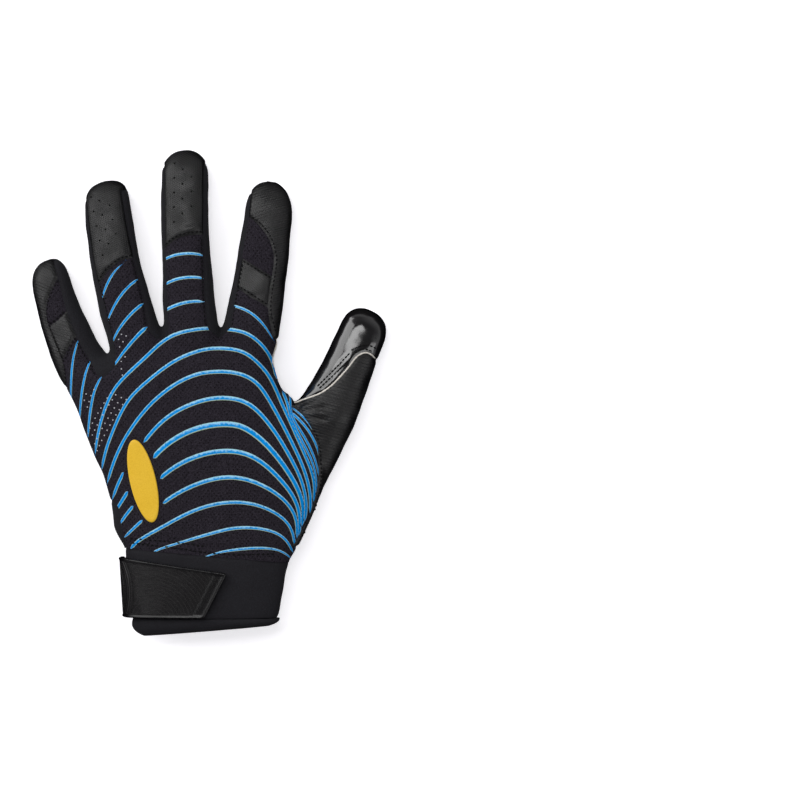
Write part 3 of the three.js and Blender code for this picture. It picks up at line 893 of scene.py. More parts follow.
# The seams that more than one panel, row of stitches or raw edge follows.
GRIP_SEAM = on("thumb", 0.05, -0.9, 0.1, -0.72, 0.165, -0.49, 0.252, -0.29, 0.363, -0.12, 0.483, 0.04,
               0.584, 0.17, 0.638, 0.4, 0.649, 0.65)
THUMB_SEAM = on("hand", 0.13, 1.0, 0.225, 0.985, 0.333, 0.95, 0.414, 0.945, 0.497, 0.96, 0.563, 0.975)
INDEX_SEAM = on("index", 0.7, -0.28, 0.63, 0.16, 0.55, 0.42, 0.46, 0.52)
LITTLE_SEAM = on("little", 0.705, -0.18, 0.596, -0.57, 0.45, -0.7)
OUTLINES = {
    "thumb_leather": Outline(
        on("hand", 0.03, 1.0) + THUMB_SEAM + on("hand", 0.617, 0.97) + on("thumb", 0, -1.02) + GRIP_SEAM
        + on("thumb", 0.61, 1.15, 0.6, 1.7, -0.4, 2.2) + on("hand", 0.03, 1.5)
    ),
    "thumb_grip": Outline(on(
        "thumb", -0.04, -1.06, -0.02, -0.5, -0.1, 1.0, -0.14, 1.8, 1.2, 1.8, 1.2, -1.8, 0.3, -1.8,
        0.1, -1.25)),
    "middle_tip_panel": Outline(on(
        "middle", 0.46, -0.85, 0.5, -0.38, 0.52, 0.14, 0.525, 0.78, 0.91, 0.84, 0.93, 1.4, 1.1, 1.4,
        1.1, -1.4, 0.93, -1.4, 0.91, -0.85)),
    "ring_tip_panel": Outline(on(
        "ring", 0.39, -0.8, 0.45, -0.4, 0.5, 0.2, 0.512, 0.79, 0.7, 0.75, 0.92, 0.68, 0.94, 1.4, 1.1, 1.4,
        1.1, -1.4, 0.94, -1.4, 0.92, -0.9, 0.6, -0.86)),
    "index_tip_panel": Outline(
        on("index", 0.746, -0.78) + INDEX_SEAM
        + on("index", 0.2, 0.52, 0, 0.88, -0.03, 1.5, 1.1, 1.5, 1.1, -1.5, 0.94, -1.5, 0.91, -0.8)),
    "index_knuckle_patch": Outline(on("index", 0.474, -0.8, 0.382, 0.52, 0.2, 0.52, 0.19, 0.5, 0.287, -0.79)),
    "index_knit_window": Outline(
        on("index", 0.746, -0.78) + INDEX_SEAM + on("index", 0.382, 0.52, 0.474, -0.8)),
    "little_tip_panel": Outline(
        on("little", 0.97, 0.36, 0.81, 0.44) + LITTLE_SEAM
        + on("little", 0.12, -0.66, -0.04, -0.88, -0.15, -1.12, -0.15, -1.7, 1.12, -1.7, 1.12, 1.5,
             0.985, 1.5)),
    "little_knuckle_patch": Outline(on(
        "little", 0.44, -0.7, 0.461, -0.2, 0.507, 0.34, 0.284, 0.33, 0.22, -0.13, 0.12, -0.66)),
    "little_knit_window": Outline(
        on("little", 0.81, 0.44) + LITTLE_SEAM + on("little", 0.44, -0.7, 0.461, -0.2, 0.507, 0.34)),
    "fourchette_little_ring": Outline(
        on("little", 0.97, 0.36, 0.81, 0.44, 0.507, 0.34, 0.284, 0.33, 0, 0.37, -0.09, 0.45)
        + on("hand", 0.795, -0.6, 0.842, -0.47)
        + on("ring", 0.04, -0.79, 0.39, -0.8, 0.6, -0.86, 0.92, -0.9, 0.94, -1.8)
        + on("little", 1.1, 1.9, 0.985, 1.5)
    ),
    "fourchette_ring_middle": Outline(
        on("ring", 0.92, 0.68, 0.7, 0.75, 0.512, 0.79, 0.231, 0.76, 0.081, 0.62, 0.005, 0.78, 0.012, 1.14)
        + on("middle", 0.02, -0.84, 0.15, -0.86, 0.46, -0.85, 0.91, -0.85, 0.93, -1.4) + on("ring", 0.94, 1.4)
    ),
    "fourchette_middle_index": Outline(
        on("middle", 0.91, 0.84, 0.525, 0.78, 0.38, 0.74, 0.144, 0.66, 0.018, 0.66)
        + on("index", -0.013, -1.3, -0.038, -1.06, 0.03, -0.72, 0.172, -0.78, 0.474, -0.8, 0.746, -0.78,
             0.91, -0.8, 0.94, -1.6)
        + on("middle", 0.95, 1.9, 0.93, 1.4)
    ),
    "wrist_gusset": Outline(on(
        "hand", 0.25, -1.3, 0.235, -0.97, 0.2, -0.93, 0.1, -0.91, -0.08, -0.9, -0.08, -1.4)),
}


# The sewn hand


@dataclass(frozen=True)
class Fold:
    """A soft crease or pleat in the skin, along a line in plan."""

    start: tuple[float, float]
    end: tuple[float, float]
    rise: float
    width: float
    under: bool = False


@dataclass(frozen=True)
class PrintedStripe:
    """One printed stripe: its full width, and its widths at both ends as shares of that."""

    width: float
    start: float
    end: float
    points: tuple[tuple[float, float], ...]
    smoothings: int = 8
    pale_from: float = 0.45
    pale_to: float = 0.97
    run_out: float = 1.2
    blunt: float = 0.35

    def drawn(self) -> np.ndarray:
        """Gives the stripe's middle line with its half width and its fade to the pale tone.

        Returns:
            Rows of x, y, half width and fade.
        """
        line = soften(np.array(self.points), closed=False, steps=3, corner=90)
        for _ in range(self.smoothings):
            line[1:-1] = (line[:-2] + 2 * line[1:-1] + line[2:]) / 4
        ahead = np.gradient(line, axis=0)
        run = run_along(line)
        share = run / run[-1]
        shape = smooth_between([0, 0.5, 1], [self.start, 1.0, self.end], share)
        level = np.abs(ahead[:, 0]) / np.maximum(np.hypot(ahead[:, 0], ahead[:, 1]), 1e-6)
        fade = np.clip((level - self.pale_from) / (self.pale_to - self.pale_from), 0, 1)
        ends = np.clip(np.minimum(run, run[-1] - run) / self.run_out, self.blunt, 1)
        return np.column_stack([line, self.width / 2 * shape * ends, fade])


STRIPES = {
    "middle finger, first": PrintedStripe(1.5, 0.9, 0.9, (
        (-13.4, 146.5), (-9.5, 148.4), (-5, 149.6), (0, 150), (5, 149.6), (6.8, 148.8),
    )),
    "middle finger, second": PrintedStripe(1.6, 0.9, 0.9, (
        (-13.1, 133.9), (-9.5, 136), (-5, 137.4), (0, 138.1), (5, 138), (6.8, 137.3),
    )),
    "middle finger, third": PrintedStripe(1.7, 1, 0.9, (
        (-12.2, 121.5), (-8.5, 123.2), (-3.5, 125.1), (1.5, 125.9), (5, 126), (6.9, 125.7),
    )),
    "ring finger, first": PrintedStripe(1.3, 0.6, 0.4, (
        (-43.6, 127.4), (-42.2, 131.5), (-40, 136.5), (-37.2, 141.2), (-33.8, 144.2),
    )),
    "ring finger, second": PrintedStripe(1.4, 0.6, 1, (
        (-40.8, 115.8), (-39, 120.5), (-36, 126), (-32.5, 131), (-29, 134.5),
        (-25.8, 137),
    )),
    "ring finger, third": PrintedStripe(1.5, 0.6, 1.1, (
        (-38.4, 105.2), (-36.5, 109.5), (-33, 115), (-29, 119.5), (-26, 122.5),
        (-23, 124.8),
    )),
    "ring finger, fourth": PrintedStripe(1.7, 0.7, 1.2, (
        (-37.1, 93.8), (-35, 97.5), (-31.5, 102), (-27.5, 106.5), (-24, 110.5),
        (-21.2, 113),
    )),
    "little finger, first": PrintedStripe(1.2, 0.9, 0.7, (
        (-59.2, 76.5), (-59.2, 79), (-58.8, 84), (-58.5, 91.5), (-57.8, 99), (-55.2, 107.2),
    )),
    "little finger, second": PrintedStripe(1.3, 0.9, 0.8, (
        (-54.8, 67.5), (-54.2, 74), (-53.2, 80.5), (-52.2, 86.5), (-51, 91.5), (-49.1, 96.5),
    )),
    "little finger, third": PrintedStripe(1.4, 0.8, 0.8, (
        (-50.5, 58.5), (-49.8, 66.5), (-48.2, 75.5), (-47.2, 80), (-45.8, 84), (-43.5, 88),
    )),
    "index finger, first": PrintedStripe(1.4, 1, 0.4, (
        (21.8, 123.8), (25, 123.1), (28.7, 121.5), (32, 119.6), (35.4, 116.5), (39, 112.2),
        (41.7, 107.2),
    )),
    "knuckles": PrintedStripe(1.9, 0.7, 0.9, (
        (-46.8, 50.2), (-45.2, 60.5), (-42.5, 70), (-39.5, 77.5), (-36, 84), (-30, 90),
        (-22.5, 97), (-17, 102.5), (-12, 107.5), (-5, 110.5), (5, 112.2), (11, 112.8),
        (21, 112), (28.2, 110.8), (33, 107.5), (37.2, 103.6), (40.2, 99.1), (42.1, 94.3),
        (43.5, 87.7),
    )),
    "second row": PrintedStripe(1.9, 0.8, 0.8, (
        (-43.5, 42.5), (-41.1, 52.7), (-38.2, 59.5), (-34.5, 68.5), (-30, 77), (-25, 82),
        (-17.5, 88.5), (-10, 94.5), (-2.5, 99), (5, 101.2), (11, 103), (21, 102.4),
        (27, 101.2), (31.8, 97.9), (36, 93.7), (39.6, 89.5), (41.7, 85.3), (44.1, 80.5),
        (46.2, 75.1), (49.2, 69.1), (52.2, 62.5), (55.8, 54.1), (59.4, 46.3), (61.8, 39.7),
        (63, 33.1), (62.1, 26.5),
    )),
    "third row": PrintedStripe(2, 0.8, 0.8, (
        (-40.6, 36), (-37.8, 44.5), (-35.2, 50.5), (-32.5, 56), (-27.7, 63.7), (-22, 71.3),
        (-16, 77.5), (-7.5, 84.5), (0, 88), (5, 90), (11, 90.8), (21, 91.3),
        (30, 88.9), (35.4, 84.1), (39, 78.7), (43.2, 71.5), (47.4, 63.7), (51, 56.5),
        (54.6, 49.3), (57.6, 42.1), (59.7, 34.9), (60.9, 27.7), (60.3, 21.1),
    )),
    "fourth row": PrintedStripe(2.2, 0.7, 0.7, (
        (-38.2, 27.5), (-34.5, 37), (-30, 44.5), (-24.5, 52.5), (-19, 59.8), (-12.5, 67),
        (-5.2, 71.8), (2.5, 75.2), (11, 78), (21, 78.1), (28.8, 76.3), (34.8, 71.5),
        (40.2, 64.9), (45, 58.3), (49.2, 51.1), (53.4, 43.3), (56.4, 36.7), (58.2, 29.5),
        (58.7, 22.9), (57.7, 16.9),
    )),
    "fifth row": PrintedStripe(2.9, 0.6, 0.7, (
        (-36.5, 21.5), (-31.8, 28.8), (-26, 37), (-20.5, 44), (-16, 49.8), (-10.8, 54.8),
        (-2.2, 60.5), (7.5, 64), (17.8, 65.3), (24.6, 64.4), (28.2, 63.1), (34.8, 58.9),
        (40.8, 52.9), (46.2, 46.3), (51, 39.1), (54.6, 32.5), (56.7, 26.5), (57.2, 20.5),
        (56.3, 14.5),
    )),
    "sixth row": PrintedStripe(2.5, 0.6, 0.7, (
        (-34.2, 15.2), (-31.2, 20), (-25, 26.8), (-19, 33), (-14.8, 37.2), (-10.2, 41),
        (-5, 44.8), (1.8, 48), (10, 51), (21, 52), (28.8, 50.5), (36, 46.9),
        (42.6, 40.9), (48.6, 34.3), (52.8, 28.3), (55.1, 21.7), (55.4, 15.7), (54.7, 9.7),
    )),
    "seventh row": PrintedStripe(2.2, 0.65, 0.7, (
        (-32, 8.5), (-27.2, 13), (-19, 20.8), (-9.5, 28), (-2.5, 32.2), (5.8, 35.8),
        (14, 38.2), (21, 38.8), (28.8, 37.9), (36.6, 34.9), (43.8, 30.7), (49.2, 25.9),
        (52.8, 20.5), (54.2, 14.5), (53.8, 8.5),
    )),
    "eighth row": PrintedStripe(1.9, 0.9, 0.7, (
        (-28.7, 3), (-26.8, 5.8), (-20, 10), (-11.7, 14.2), (-3, 19.5), (5.8, 23.2),
        (14, 25.5), (21, 26.2), (30, 26.2), (38.4, 23.5), (45, 19.9), (49.8, 15.7),
        (52.2, 10.3), (52.7, 4.3),
    )),
    "ninth row": PrintedStripe(1.7, 0.6, 0.7, (
        (-17.5, 1.2), (-14.5, 2.8), (-9, 4.6), (-2.2, 6.5), (5.5, 9), (13.8, 11.2),
        (21, 13.3), (30, 13.9), (39, 12.7), (45.6, 10.3), (49.8, 6.1), (51.5, 1.3),
    )),
    "tenth row": PrintedStripe(1.5, 0.4, 0.6, (
        (6.5, -1.8), (11, 0), (16, 1.5), (21, 2.2), (30, 3.4), (39, 3.4), (45, 2.5),
        (48.6, 0.1), (50.5, -2),
    )),
    "web, first": PrintedStripe(1.3, 1.2, 0.7, (
        (46.5, 81), (48.3, 77.5), (49.7, 73.3), (50.4, 68.5), (52.8, 63.1), (56.4, 56.5),
        (60, 49.9), (62.7, 43.3), (63.7, 36.7), (63.4, 30.1),
    )),
    "web, second": PrintedStripe(1.3, 0.8, 0.7, (
        (49.7, 80.5), (50.8, 76.9), (50.5, 72.7), (51.2, 68.5), (54.3, 63.7), (58.2, 57.7),
        (61.5, 51.1), (63.9, 44.5), (64.8, 38.5),
    )),
    "web, third": PrintedStripe(1.2, 1.2, 0.6, (
        (51, 70.6), (54.6, 67.6), (58.2, 63.7), (61.5, 58.9), (63.9, 53.5), (65.3, 48.1),
        (65.5, 42.7),
    )),
    "web, fourth": PrintedStripe(1, 1, 0.5, (
        (51.1, 73.2), (54.6, 70.6), (58.5, 67), (62.1, 62.2), (64.7, 56.5), (65.9, 50.5),
    )),
}


class PanelKind(Enum):
    """What a panel is cut from, which gives its finish."""

    KNIT = "knit"
    LYCRA = "lycra"
    LEATHER = "leather"
    GRIP = "grip"
    PALM = "palm"


@dataclass(frozen=True)
class Panel:
    """One sewn panel: what it is cut from, how far it stands out, and its leather's slant and ribs."""

    node: str
    kind: PanelKind
    lift: float
    slant: float = 0.0
    ribbed: float = 0.0


@dataclass
class SewnHand:
    """The hand and fingers of the glove, in panels."""

    chart: HandChart
    voxel: float = 0.9
    wall: float = 1.3
    side_seam: float = 6.0
    seam_gap: float = 0.2
    tuck: float = 0.55
    tuck_width: float = 1.0
    lift_width: float = 0.9
    tip_stations: tuple[float, ...] = (0.01, 0.04, 0.08, 0.16, 0.26, 0.4, 0.58, 0.8, 1.0)
    tip_tuck: float = 0.36
    tip_least: float = 0.25
    sinking: float = 0.5
    shaft_rings: int = 26
    hand_rings: int = 44
    hand_sides: int = 112
    lean_reach: float = 0.25
    smoothings: int = 6
    fork_smoothings: int = 22
    fork_reach: float = 11.0
    knuckles: tuple[float, float, float] = (82.0, 118.0, 9.0)
    wrist_trim: float = 0.15
    # How many lumps there are in a millimetre, and how high they are.
    lumps: tuple[tuple[float, float], ...] = ((0.075, 0.42), (0.2, 0.14))
    badge_gap: float = 3.2
    panels: tuple[Panel, ...] = (
        Panel("thumb_leather", PanelKind.LEATHER, 0.2, 14, 1.0),
        Panel("thumb_grip", PanelKind.GRIP, 0.15),
        Panel("palm_panel", PanelKind.PALM, 0.0),
        Panel("middle_tip_panel", PanelKind.LEATHER, 0.4, 0),
        Panel("ring_tip_panel", PanelKind.LEATHER, 0.4, -8),
        Panel("index_tip_panel", PanelKind.LEATHER, 0.35, -20, 0.5),
        Panel("index_knuckle_patch", PanelKind.LEATHER, 0.4, 10),
        Panel("index_knit_window", PanelKind.KNIT, 0.0),
        Panel("little_tip_panel", PanelKind.LEATHER, 0.35, 24, 0.5),
        Panel("little_knuckle_patch", PanelKind.LEATHER, 0.4, 20, 0.5),
        Panel("little_knit_window", PanelKind.KNIT, 0.0),
        Panel("fourchette_little_ring", PanelKind.LYCRA, 0.0),
        Panel("fourchette_ring_middle", PanelKind.LYCRA, 0.0),
        Panel("fourchette_middle_index", PanelKind.LYCRA, 0.0),
        Panel("wrist_gusset", PanelKind.LYCRA, 0.0),
        Panel("back_panel", PanelKind.KNIT, 0.1),
    )
    folds: tuple[Fold, ...] = (
        Fold((53, 73), (66, 79.5), -0.55, 1.2),
        Fold((54.5, 71), (70, 73.5), -0.6, 1.3),
        Fold((56, 69), (71, 66.5), -0.6, 1.4),
        Fold((58, 65), (68, 57), -0.45, 1.5),
        Fold((54.5, 72), (68, 76.5), 0.35, 1),
        Fold((55.5, 70), (71, 70), 0.35, 1),
        Fold((46.8, 86), (50, 78.5), 0.8, 1.3),
        Fold((50, 78.5), (50.2, 71), 0.7, 1.2),
        Fold((44.3, 85), (47.4, 77), -0.4, 1.1),
        Fold((47.4, 77), (48, 69), -0.4, 1.1),
        Fold((-9, 157.6), (-3.6, 161.4), 0.6, 1.7),
        Fold((-3.6, 161.4), (6, 163.2), 0.75, 1.7),
        Fold((-43.1, 142.4), (-37.4, 146), 0.6, 1.7),
        Fold((-37.4, 146), (-30.6, 151), 0.75, 1.7),
        Fold((34, 163.5), (40.5, 156), 0.5, 1.5),
        Fold((40.5, 156), (42, 149), 0.4, 1.4),
        Fold((25.4, 129.9), (35, 125.4), 0.6, 1.3),
        Fold((-70.3, 125.5), (-69.5, 115.5), 0.5, 1.5),
        Fold((63.9, 83.6), (80, 100), -0.3, 0.8),
        Fold((65.2, 82.4), (80.9, 97), -0.3, 0.8),
        Fold((-45, 12), (20, 3), -0.35, 1.6),
        Fold((-2, 3.5), (52, 1.5), -0.35, 1.6),
        Fold((-22, 128), (-34, 126), -0.3, 1.6),
        Fold((-9, 130), (11, 130), -0.25, 1.8),
        Fold((28, 128), (44, 130), -0.3, 1.6),
        Fold((-50, 62), (30, 88), -0.9, 1.8, True),
        Fold((-40, 52), (48, 72), -0.8, 1.8, True),
        Fold((46, 70), (24, 40), -0.9, 1.8, True),
        Fold((24, 40), (18, 8), -0.9, 1.8, True),
        Fold((-12, 138), (12, 138), -0.7, 1.4, True),
        Fold((-46, 132), (-22, 128), -0.7, 1.4, True),
        Fold((20, 132), (46, 136), -0.7, 1.4, True),
        Fold((-72, 108), (-52, 102), -0.7, 1.4, True),
    )
    perforations: dict[str, tuple[tuple[float, float], ...]] = field(default_factory=lambda: {
        "middle_tip_panel": tuple(
            [(-7.5, 195.0 - 7.35 * i) for i in range(5)] + [(-3.3, 192.0 - 7.4 * i) for i in range(4)]
            + [(1.2, 188.3 - 7.4 * i) for i in range(3)]
        ),
        "ring_tip_panel": tuple(
            [(-49.3 + 1.55 * i, 178.3 - 7.3 * i) for i in range(5)]
            + [(-45.0 + 1.6 * i, 176.4 - 7.2 * i) for i in range(4)]
            + [(-39.8 + 1.6 * i, 174.0 - 7.1 * i) for i in range(3)]
        ),
    })
    hole: float = 0.5
    hole_reach: float = 1.1
    surface: BVHTree | None = None

    def lofts(self) -> BMesh:
        """Lofts the hand and its fingers as closed bodies that run into each other.

        Returns:
            The bodies in one mesh.
        """
        chart = self.chart
        body = bmesh.new()
        for finger in chart.fingers.values():
            splay = math.radians(finger.splay)
            across = np.array([math.cos(splay), -math.sin(splay)])
            tip = finger.tip_round * np.array(self.tip_stations)
            buried = finger.buried_share * chart.hand_length
            shaft = np.linspace(finger.tip_round + 3, finger.length + buried, self.shaft_rings)
            rings = []
            for run in (*tip, *shaft):
                share = 1 - run / finger.length
                power = finger.tip_power
                full = (1 - (1 - min(run / finger.tip_round, 1)) ** power) ** (1 / power)
                thick = finger.root_height + (finger.tip_height - finger.root_height) * min(max(share, 0), 1)
                height = thick * (1 + self.sinking * min(share, 0))
                floor = (1 - full) * self.tip_tuck * height
                rings.append(chart.section(
                    chart.on_finger(finger, share, 0), across, chart.width(finger, share) / 2 * full, floor,
                    max(height * (self.tip_least + (1 - self.tip_least) * full) - floor, 1.0)))
            merge_into(body, rings_to_mesh(rings, Ends.CAPPED))
        rings = []
        for up in np.concatenate([[-0.05, -0.02], np.linspace(0, 1.0, self.hand_rings)]):
            level = max(up, 0)
            left, right = (chart.column(name, level) * chart.knuckle_width for name in ("left", "right"))
            rings.append(chart.section(
                np.array([(left + right) / 2, up * chart.hand_length]), np.array([1.0, 0.0]),
                (right - left) / 2, chart.column("lift", level) * chart.cuff_room,
                chart.column("height", level) * chart.hand_height,
                chart.seam_lean * max(0.0, 1 - level / self.lean_reach), 0.0, self.hand_sides))
        merge_into(body, rings_to_mesh(rings, Ends.CAPPED))
        return body

    def skin(self) -> BMesh:
        """Melts the bodies into one soft skin that is open at the wrist.

        Returns:
            The skin, in faces of about a millimetre.
        """
        mesh = bpy.data.meshes.new("bodies")
        lofts = self.lofts()
        lofts.to_mesh(mesh)
        lofts.free()
        carrier = bpy.data.objects.new("bodies", mesh)
        bpy.context.scene.collection.objects.link(carrier)
        melt = carrier.modifiers.new("melt", "REMESH")
        melt.mode = "VOXEL"
        melt.voxel_size = self.voxel
        bpy.context.view_layer.update()
        melted = bpy.data.meshes.new_from_object(carrier.evaluated_get(bpy.context.evaluated_depsgraph_get()))
        bm = bmesh.new()
        bm.from_mesh(melted)
        bpy.data.objects.remove(carrier)
        bpy.data.meshes.remove(mesh)
        bpy.data.meshes.remove(melted)
        axes = {"use_axis_x": True, "use_axis_y": True, "use_axis_z": True}
        for _ in range(self.smoothings):
            bmesh.ops.smooth_vert(bm, verts=bm.verts, factor=0.5, **axes)
        chart = self.chart
        forks = [chart.place("hand", 0.86, -0.4), chart.place("ring", 0.02, 1.1),
                 chart.place("index", 0.0, -1.1), chart.place("thumb", 0.0, -1.1)]
        where = places(bm)
        near = np.min([np.hypot(where[:, 0] - p[0], where[:, 1] - p[1]) for p in forks], axis=0)
        first, last, floor = self.knuckles
        knuckles = (where[:, 1] > first) & (where[:, 1] < last) & (where[:, 2] > floor)
        bm.verts.ensure_lookup_table()
        soft = [bm.verts[i] for i in np.where((near < self.fork_reach) | knuckles)[0]]
        for _ in range(self.fork_smoothings):
            bmesh.ops.smooth_vert(bm, verts=soft, factor=0.5, **axes)
        bmesh.ops.bisect_plane(
            bm, geom=[*bm.verts, *bm.edges, *bm.faces], dist=0.01, clear_inner=True,
            plane_co=(0, self.wrist_trim, 0), plane_no=(-chart.seam_lean, 1, 0))
        return bm

    def crumple(self, bm: BMesh) -> None:
        """Gives the skin its creases and the slight lumps of an unworn glove.

        Args:
            bm: The skin.
        """
        bm.normal_update()
        where = places(bm)
        starts = np.array([fold.start for fold in self.folds])
        stops = np.array([fold.end for fold in self.folds])
        distance, share = segment_distance(where[:, :2], starts, stops)
        ease = np.clip(np.minimum(share, 1 - share) * 5, 0.15, 1)
        shape = np.exp(-(distance / np.array([fold.width for fold in self.folds])) ** 2) * ease
        shape *= np.array([fold.rise for fold in self.folds])
        under = np.array([fold.under for fold in self.folds])
        for vert, row in zip(bm.verts, shape):
            up = vert.normal.z
            rise = row[under].sum() if up < -0.3 else row[~under].sum() if up > 0 else 0.0
            lumps = sum(noise.noise(vert.co * scale) * size for scale, size in self.lumps)
            ease = min(1.0, max(vert.co.z - 0.8, 0.0) / 3)
            vert.co += vert.normal * (rise + lumps * ease)

    def cut_panels(self, bm: BMesh) -> bmesh.types.BMLayerItem:
        """Cuts the skin along its seams and marks each face with its panel.

        Args:
            bm: The skin.

        Returns:
            The face layer that holds the panels' numbers, counted from 1.
        """
        layer = bm.faces.layers.int.new("panel")
        number = {panel.node: i + 1 for i, panel in enumerate(self.panels)}
        cut_along(bm, places(bm)[:, 2] - self.side_seam)
        for face in bm.faces:
            if face.calc_center_median().z < self.side_seam:
                face[layer] = number["palm_panel"]
        for node, outline in OUTLINES.items():
            drawn = outline.drawn(self.chart)
            reach = 0.0 if node.startswith("thumb") else self.seam_gap
            free = None if node == "thumb_grip" else layer
            cut_along(bm, outline_distance(places(bm)[:, :2], drawn) - reach, free)
            middles = face_places(bm)
            inside = outline_distance(middles, drawn) < reach
            for face, within in zip(bm.faces, inside):
                taken = face[layer] not in (0, number["palm_panel"]) if node == "thumb_grip" else face[layer]
                if within and not taken:
                    face[layer] = number[node]
        for face in bm.faces:
            if not face[layer]:
                face[layer] = number["back_panel"]
        return layer

    def turn_in_seams(self, bm: BMesh, layer: bmesh.types.BMLayerItem) -> None:
        """Draws the skin in along its seams and lets each panel stand out between them.

        Args:
            bm: The skin.
            layer: The face layer with the panels' numbers.
        """
        bm.normal_update()
        seams = [v for v in bm.verts if len({face[layer] for face in v.link_faces}) > 1]
        tree = KDTree(len(seams))
        for i, vert in enumerate(seams):
            tree.insert(vert.co, i)
        tree.balance()
        moves = []
        for vert in bm.verts:
            distance = tree.find(vert.co)[2]
            lift = self.panels[vert.link_faces[0][layer] - 1].lift
            rise = lift * (1 - math.exp(-(distance / self.lift_width) ** 2))
            moves.append(rise - self.tuck * math.exp(-(distance / self.tuck_width) ** 2))
        for vert, move in zip(bm.verts, moves):
            vert.co += vert.normal * move
            vert.co.z = max(vert.co.z, 0.0)
        bm.normal_update()

    def print_stripes(self, bm: BMesh, clear_of: tuple[np.ndarray, float, float, float]) -> None:
        """Keeps on each face how it lies to the nearest stripe.

        Args:
            bm: The back panel.
            clear_of: The badge's middle, half length, half width and tilt, which the stripes stop short of.
        """
        side, half, fade = (bm.loops.layers.float.new(name) for name in ("ink_side", "ink_half", "ink_fade"))
        lines = [stripe.drawn() for stripe in STRIPES.values()]
        starts = np.concatenate([line[:-1] for line in lines])
        stops = np.concatenate([line[1:] for line in lines])
        owner = np.concatenate([np.full(len(line) - 1, i) for i, line in enumerate(lines)])
        bm.faces.ensure_lookup_table()
        middles = face_places(bm)
        nearest = np.empty(len(middles), int)
        for start in range(0, len(middles), BATCH):
            distance = segment_distance(middles[start:start + BATCH], starts[:, :2], stops[:, :2])[0]
            nearest[start:start + BATCH] = owner[distance.argmin(axis=1)]
        place, long, wide, tilt = clear_of
        cos, sin = math.cos(math.radians(tilt)), math.sin(math.radians(tilt))
        for i in range(len(lines)):
            faces = [bm.faces[j] for j in np.where(nearest == i)[0]]
            loops = [loop for face in faces for loop in face.loops]
            if not loops:
                continue
            points = np.array([loop.vert.co[:2] for loop in loops])
            mine = owner == i
            a, b = starts[mine], stops[mine]
            for start in range(0, len(points), BATCH):
                some = points[start:start + BATCH]
                distance, share = segment_distance(some, a[:, :2], b[:, :2])
                best = distance.argmin(axis=1)
                row = np.arange(len(some))
                t = share[row, best][:, None]
                at = a[best] * (1 - t) + b[best] * t
                run = b[best, :2] - a[best, :2]
                off = some - at[:, :2]
                sign = np.sign(run[:, 0] * off[:, 1] - run[:, 1] * off[:, 0])
                from_badge = some - place
                u = (from_badge[:, 0] * cos + from_badge[:, 1] * sin) / (wide + self.badge_gap)
                v = (-from_badge[:, 0] * sin + from_badge[:, 1] * cos) / (long + self.badge_gap)
                blank = np.clip((np.hypot(u, v) - 1) * 9, -3, 0)
                for loop, d, s, w, f, k in zip(loops[start:start + BATCH], distance[row, best], sign,
                                               at[:, 2], at[:, 3], blank):
                    loop[side], loop[half], loop[fade] = float(d * s), float(w + k), float(f)

    def perforate(self, bm: BMesh, holes: tuple[tuple[float, float], ...]) -> None:
        """Punches round holes through a panel.

        Args:
            bm: The panel.
            holes: The holes' places in plan.
        """
        spots = np.array(holes)

        def gap() -> np.ndarray:
            """Measures each vertex against the holes.

            Returns:
                The distances to the nearest hole's edge.
            """
            where = places(bm)
            near = np.hypot(where[:, None, 0] - spots[:, 0], where[:, None, 1] - spots[:, 1]).min(axis=1)
            return near - self.hole

        near = gap()
        bm.verts.ensure_lookup_table()
        edges = {edge for i in np.where(near < self.hole_reach)[0] for edge in bm.verts[i].link_edges}
        bmesh.ops.subdivide_edges(bm, edges=list(edges), cuts=3, use_grid_fill=True)
        cut_along(bm, gap())
        middles = face_places(bm)
        within = np.hypot(middles[:, None, 0] - spots[:, 0], middles[:, None, 1] - spots[:, 1]).min(axis=1)
        drop_faces(bm, within < self.hole)

    def build(self, finishes: dict[str, Material],
              clear_of: tuple[np.ndarray, float, float, float]) -> None:
        """Makes every panel of the hand.

        Args:
            finishes: The materials by name.
            clear_of: What the stripes stop short of.
        """
        bm = self.skin()
        self.crumple(bm)
        layer = self.cut_panels(bm)
        self.turn_in_seams(bm, layer)
        self.surface = BVHTree.FromBMesh(bm)
        slots = {PanelKind.PALM: "grip"}
        for i, panel in enumerate(self.panels):
            piece = bm.copy()
            mark = piece.faces.layers.int["panel"]
            others = [face for face in piece.faces if face[mark] != i + 1]
            bmesh.ops.delete(piece, geom=others, context="FACES")
            if panel.kind is PanelKind.KNIT:
                self.print_stripes(piece, clear_of)
            if panel.node in self.perforations:
                self.perforate(piece, self.perforations[panel.node])
            coat = panel.kind.value
            if panel.kind is PanelKind.LEATHER:
                coat = f"leather {panel.slant:.0f}"
            made = finish_piece(f"{panel.node}_sewn", piece, [finishes[coat], finishes["lining"]], self.wall)
            place_piece(made, slots.get(panel.kind, panel.kind.value), panel.node)
        bm.free()


# Cuff, strap and badge


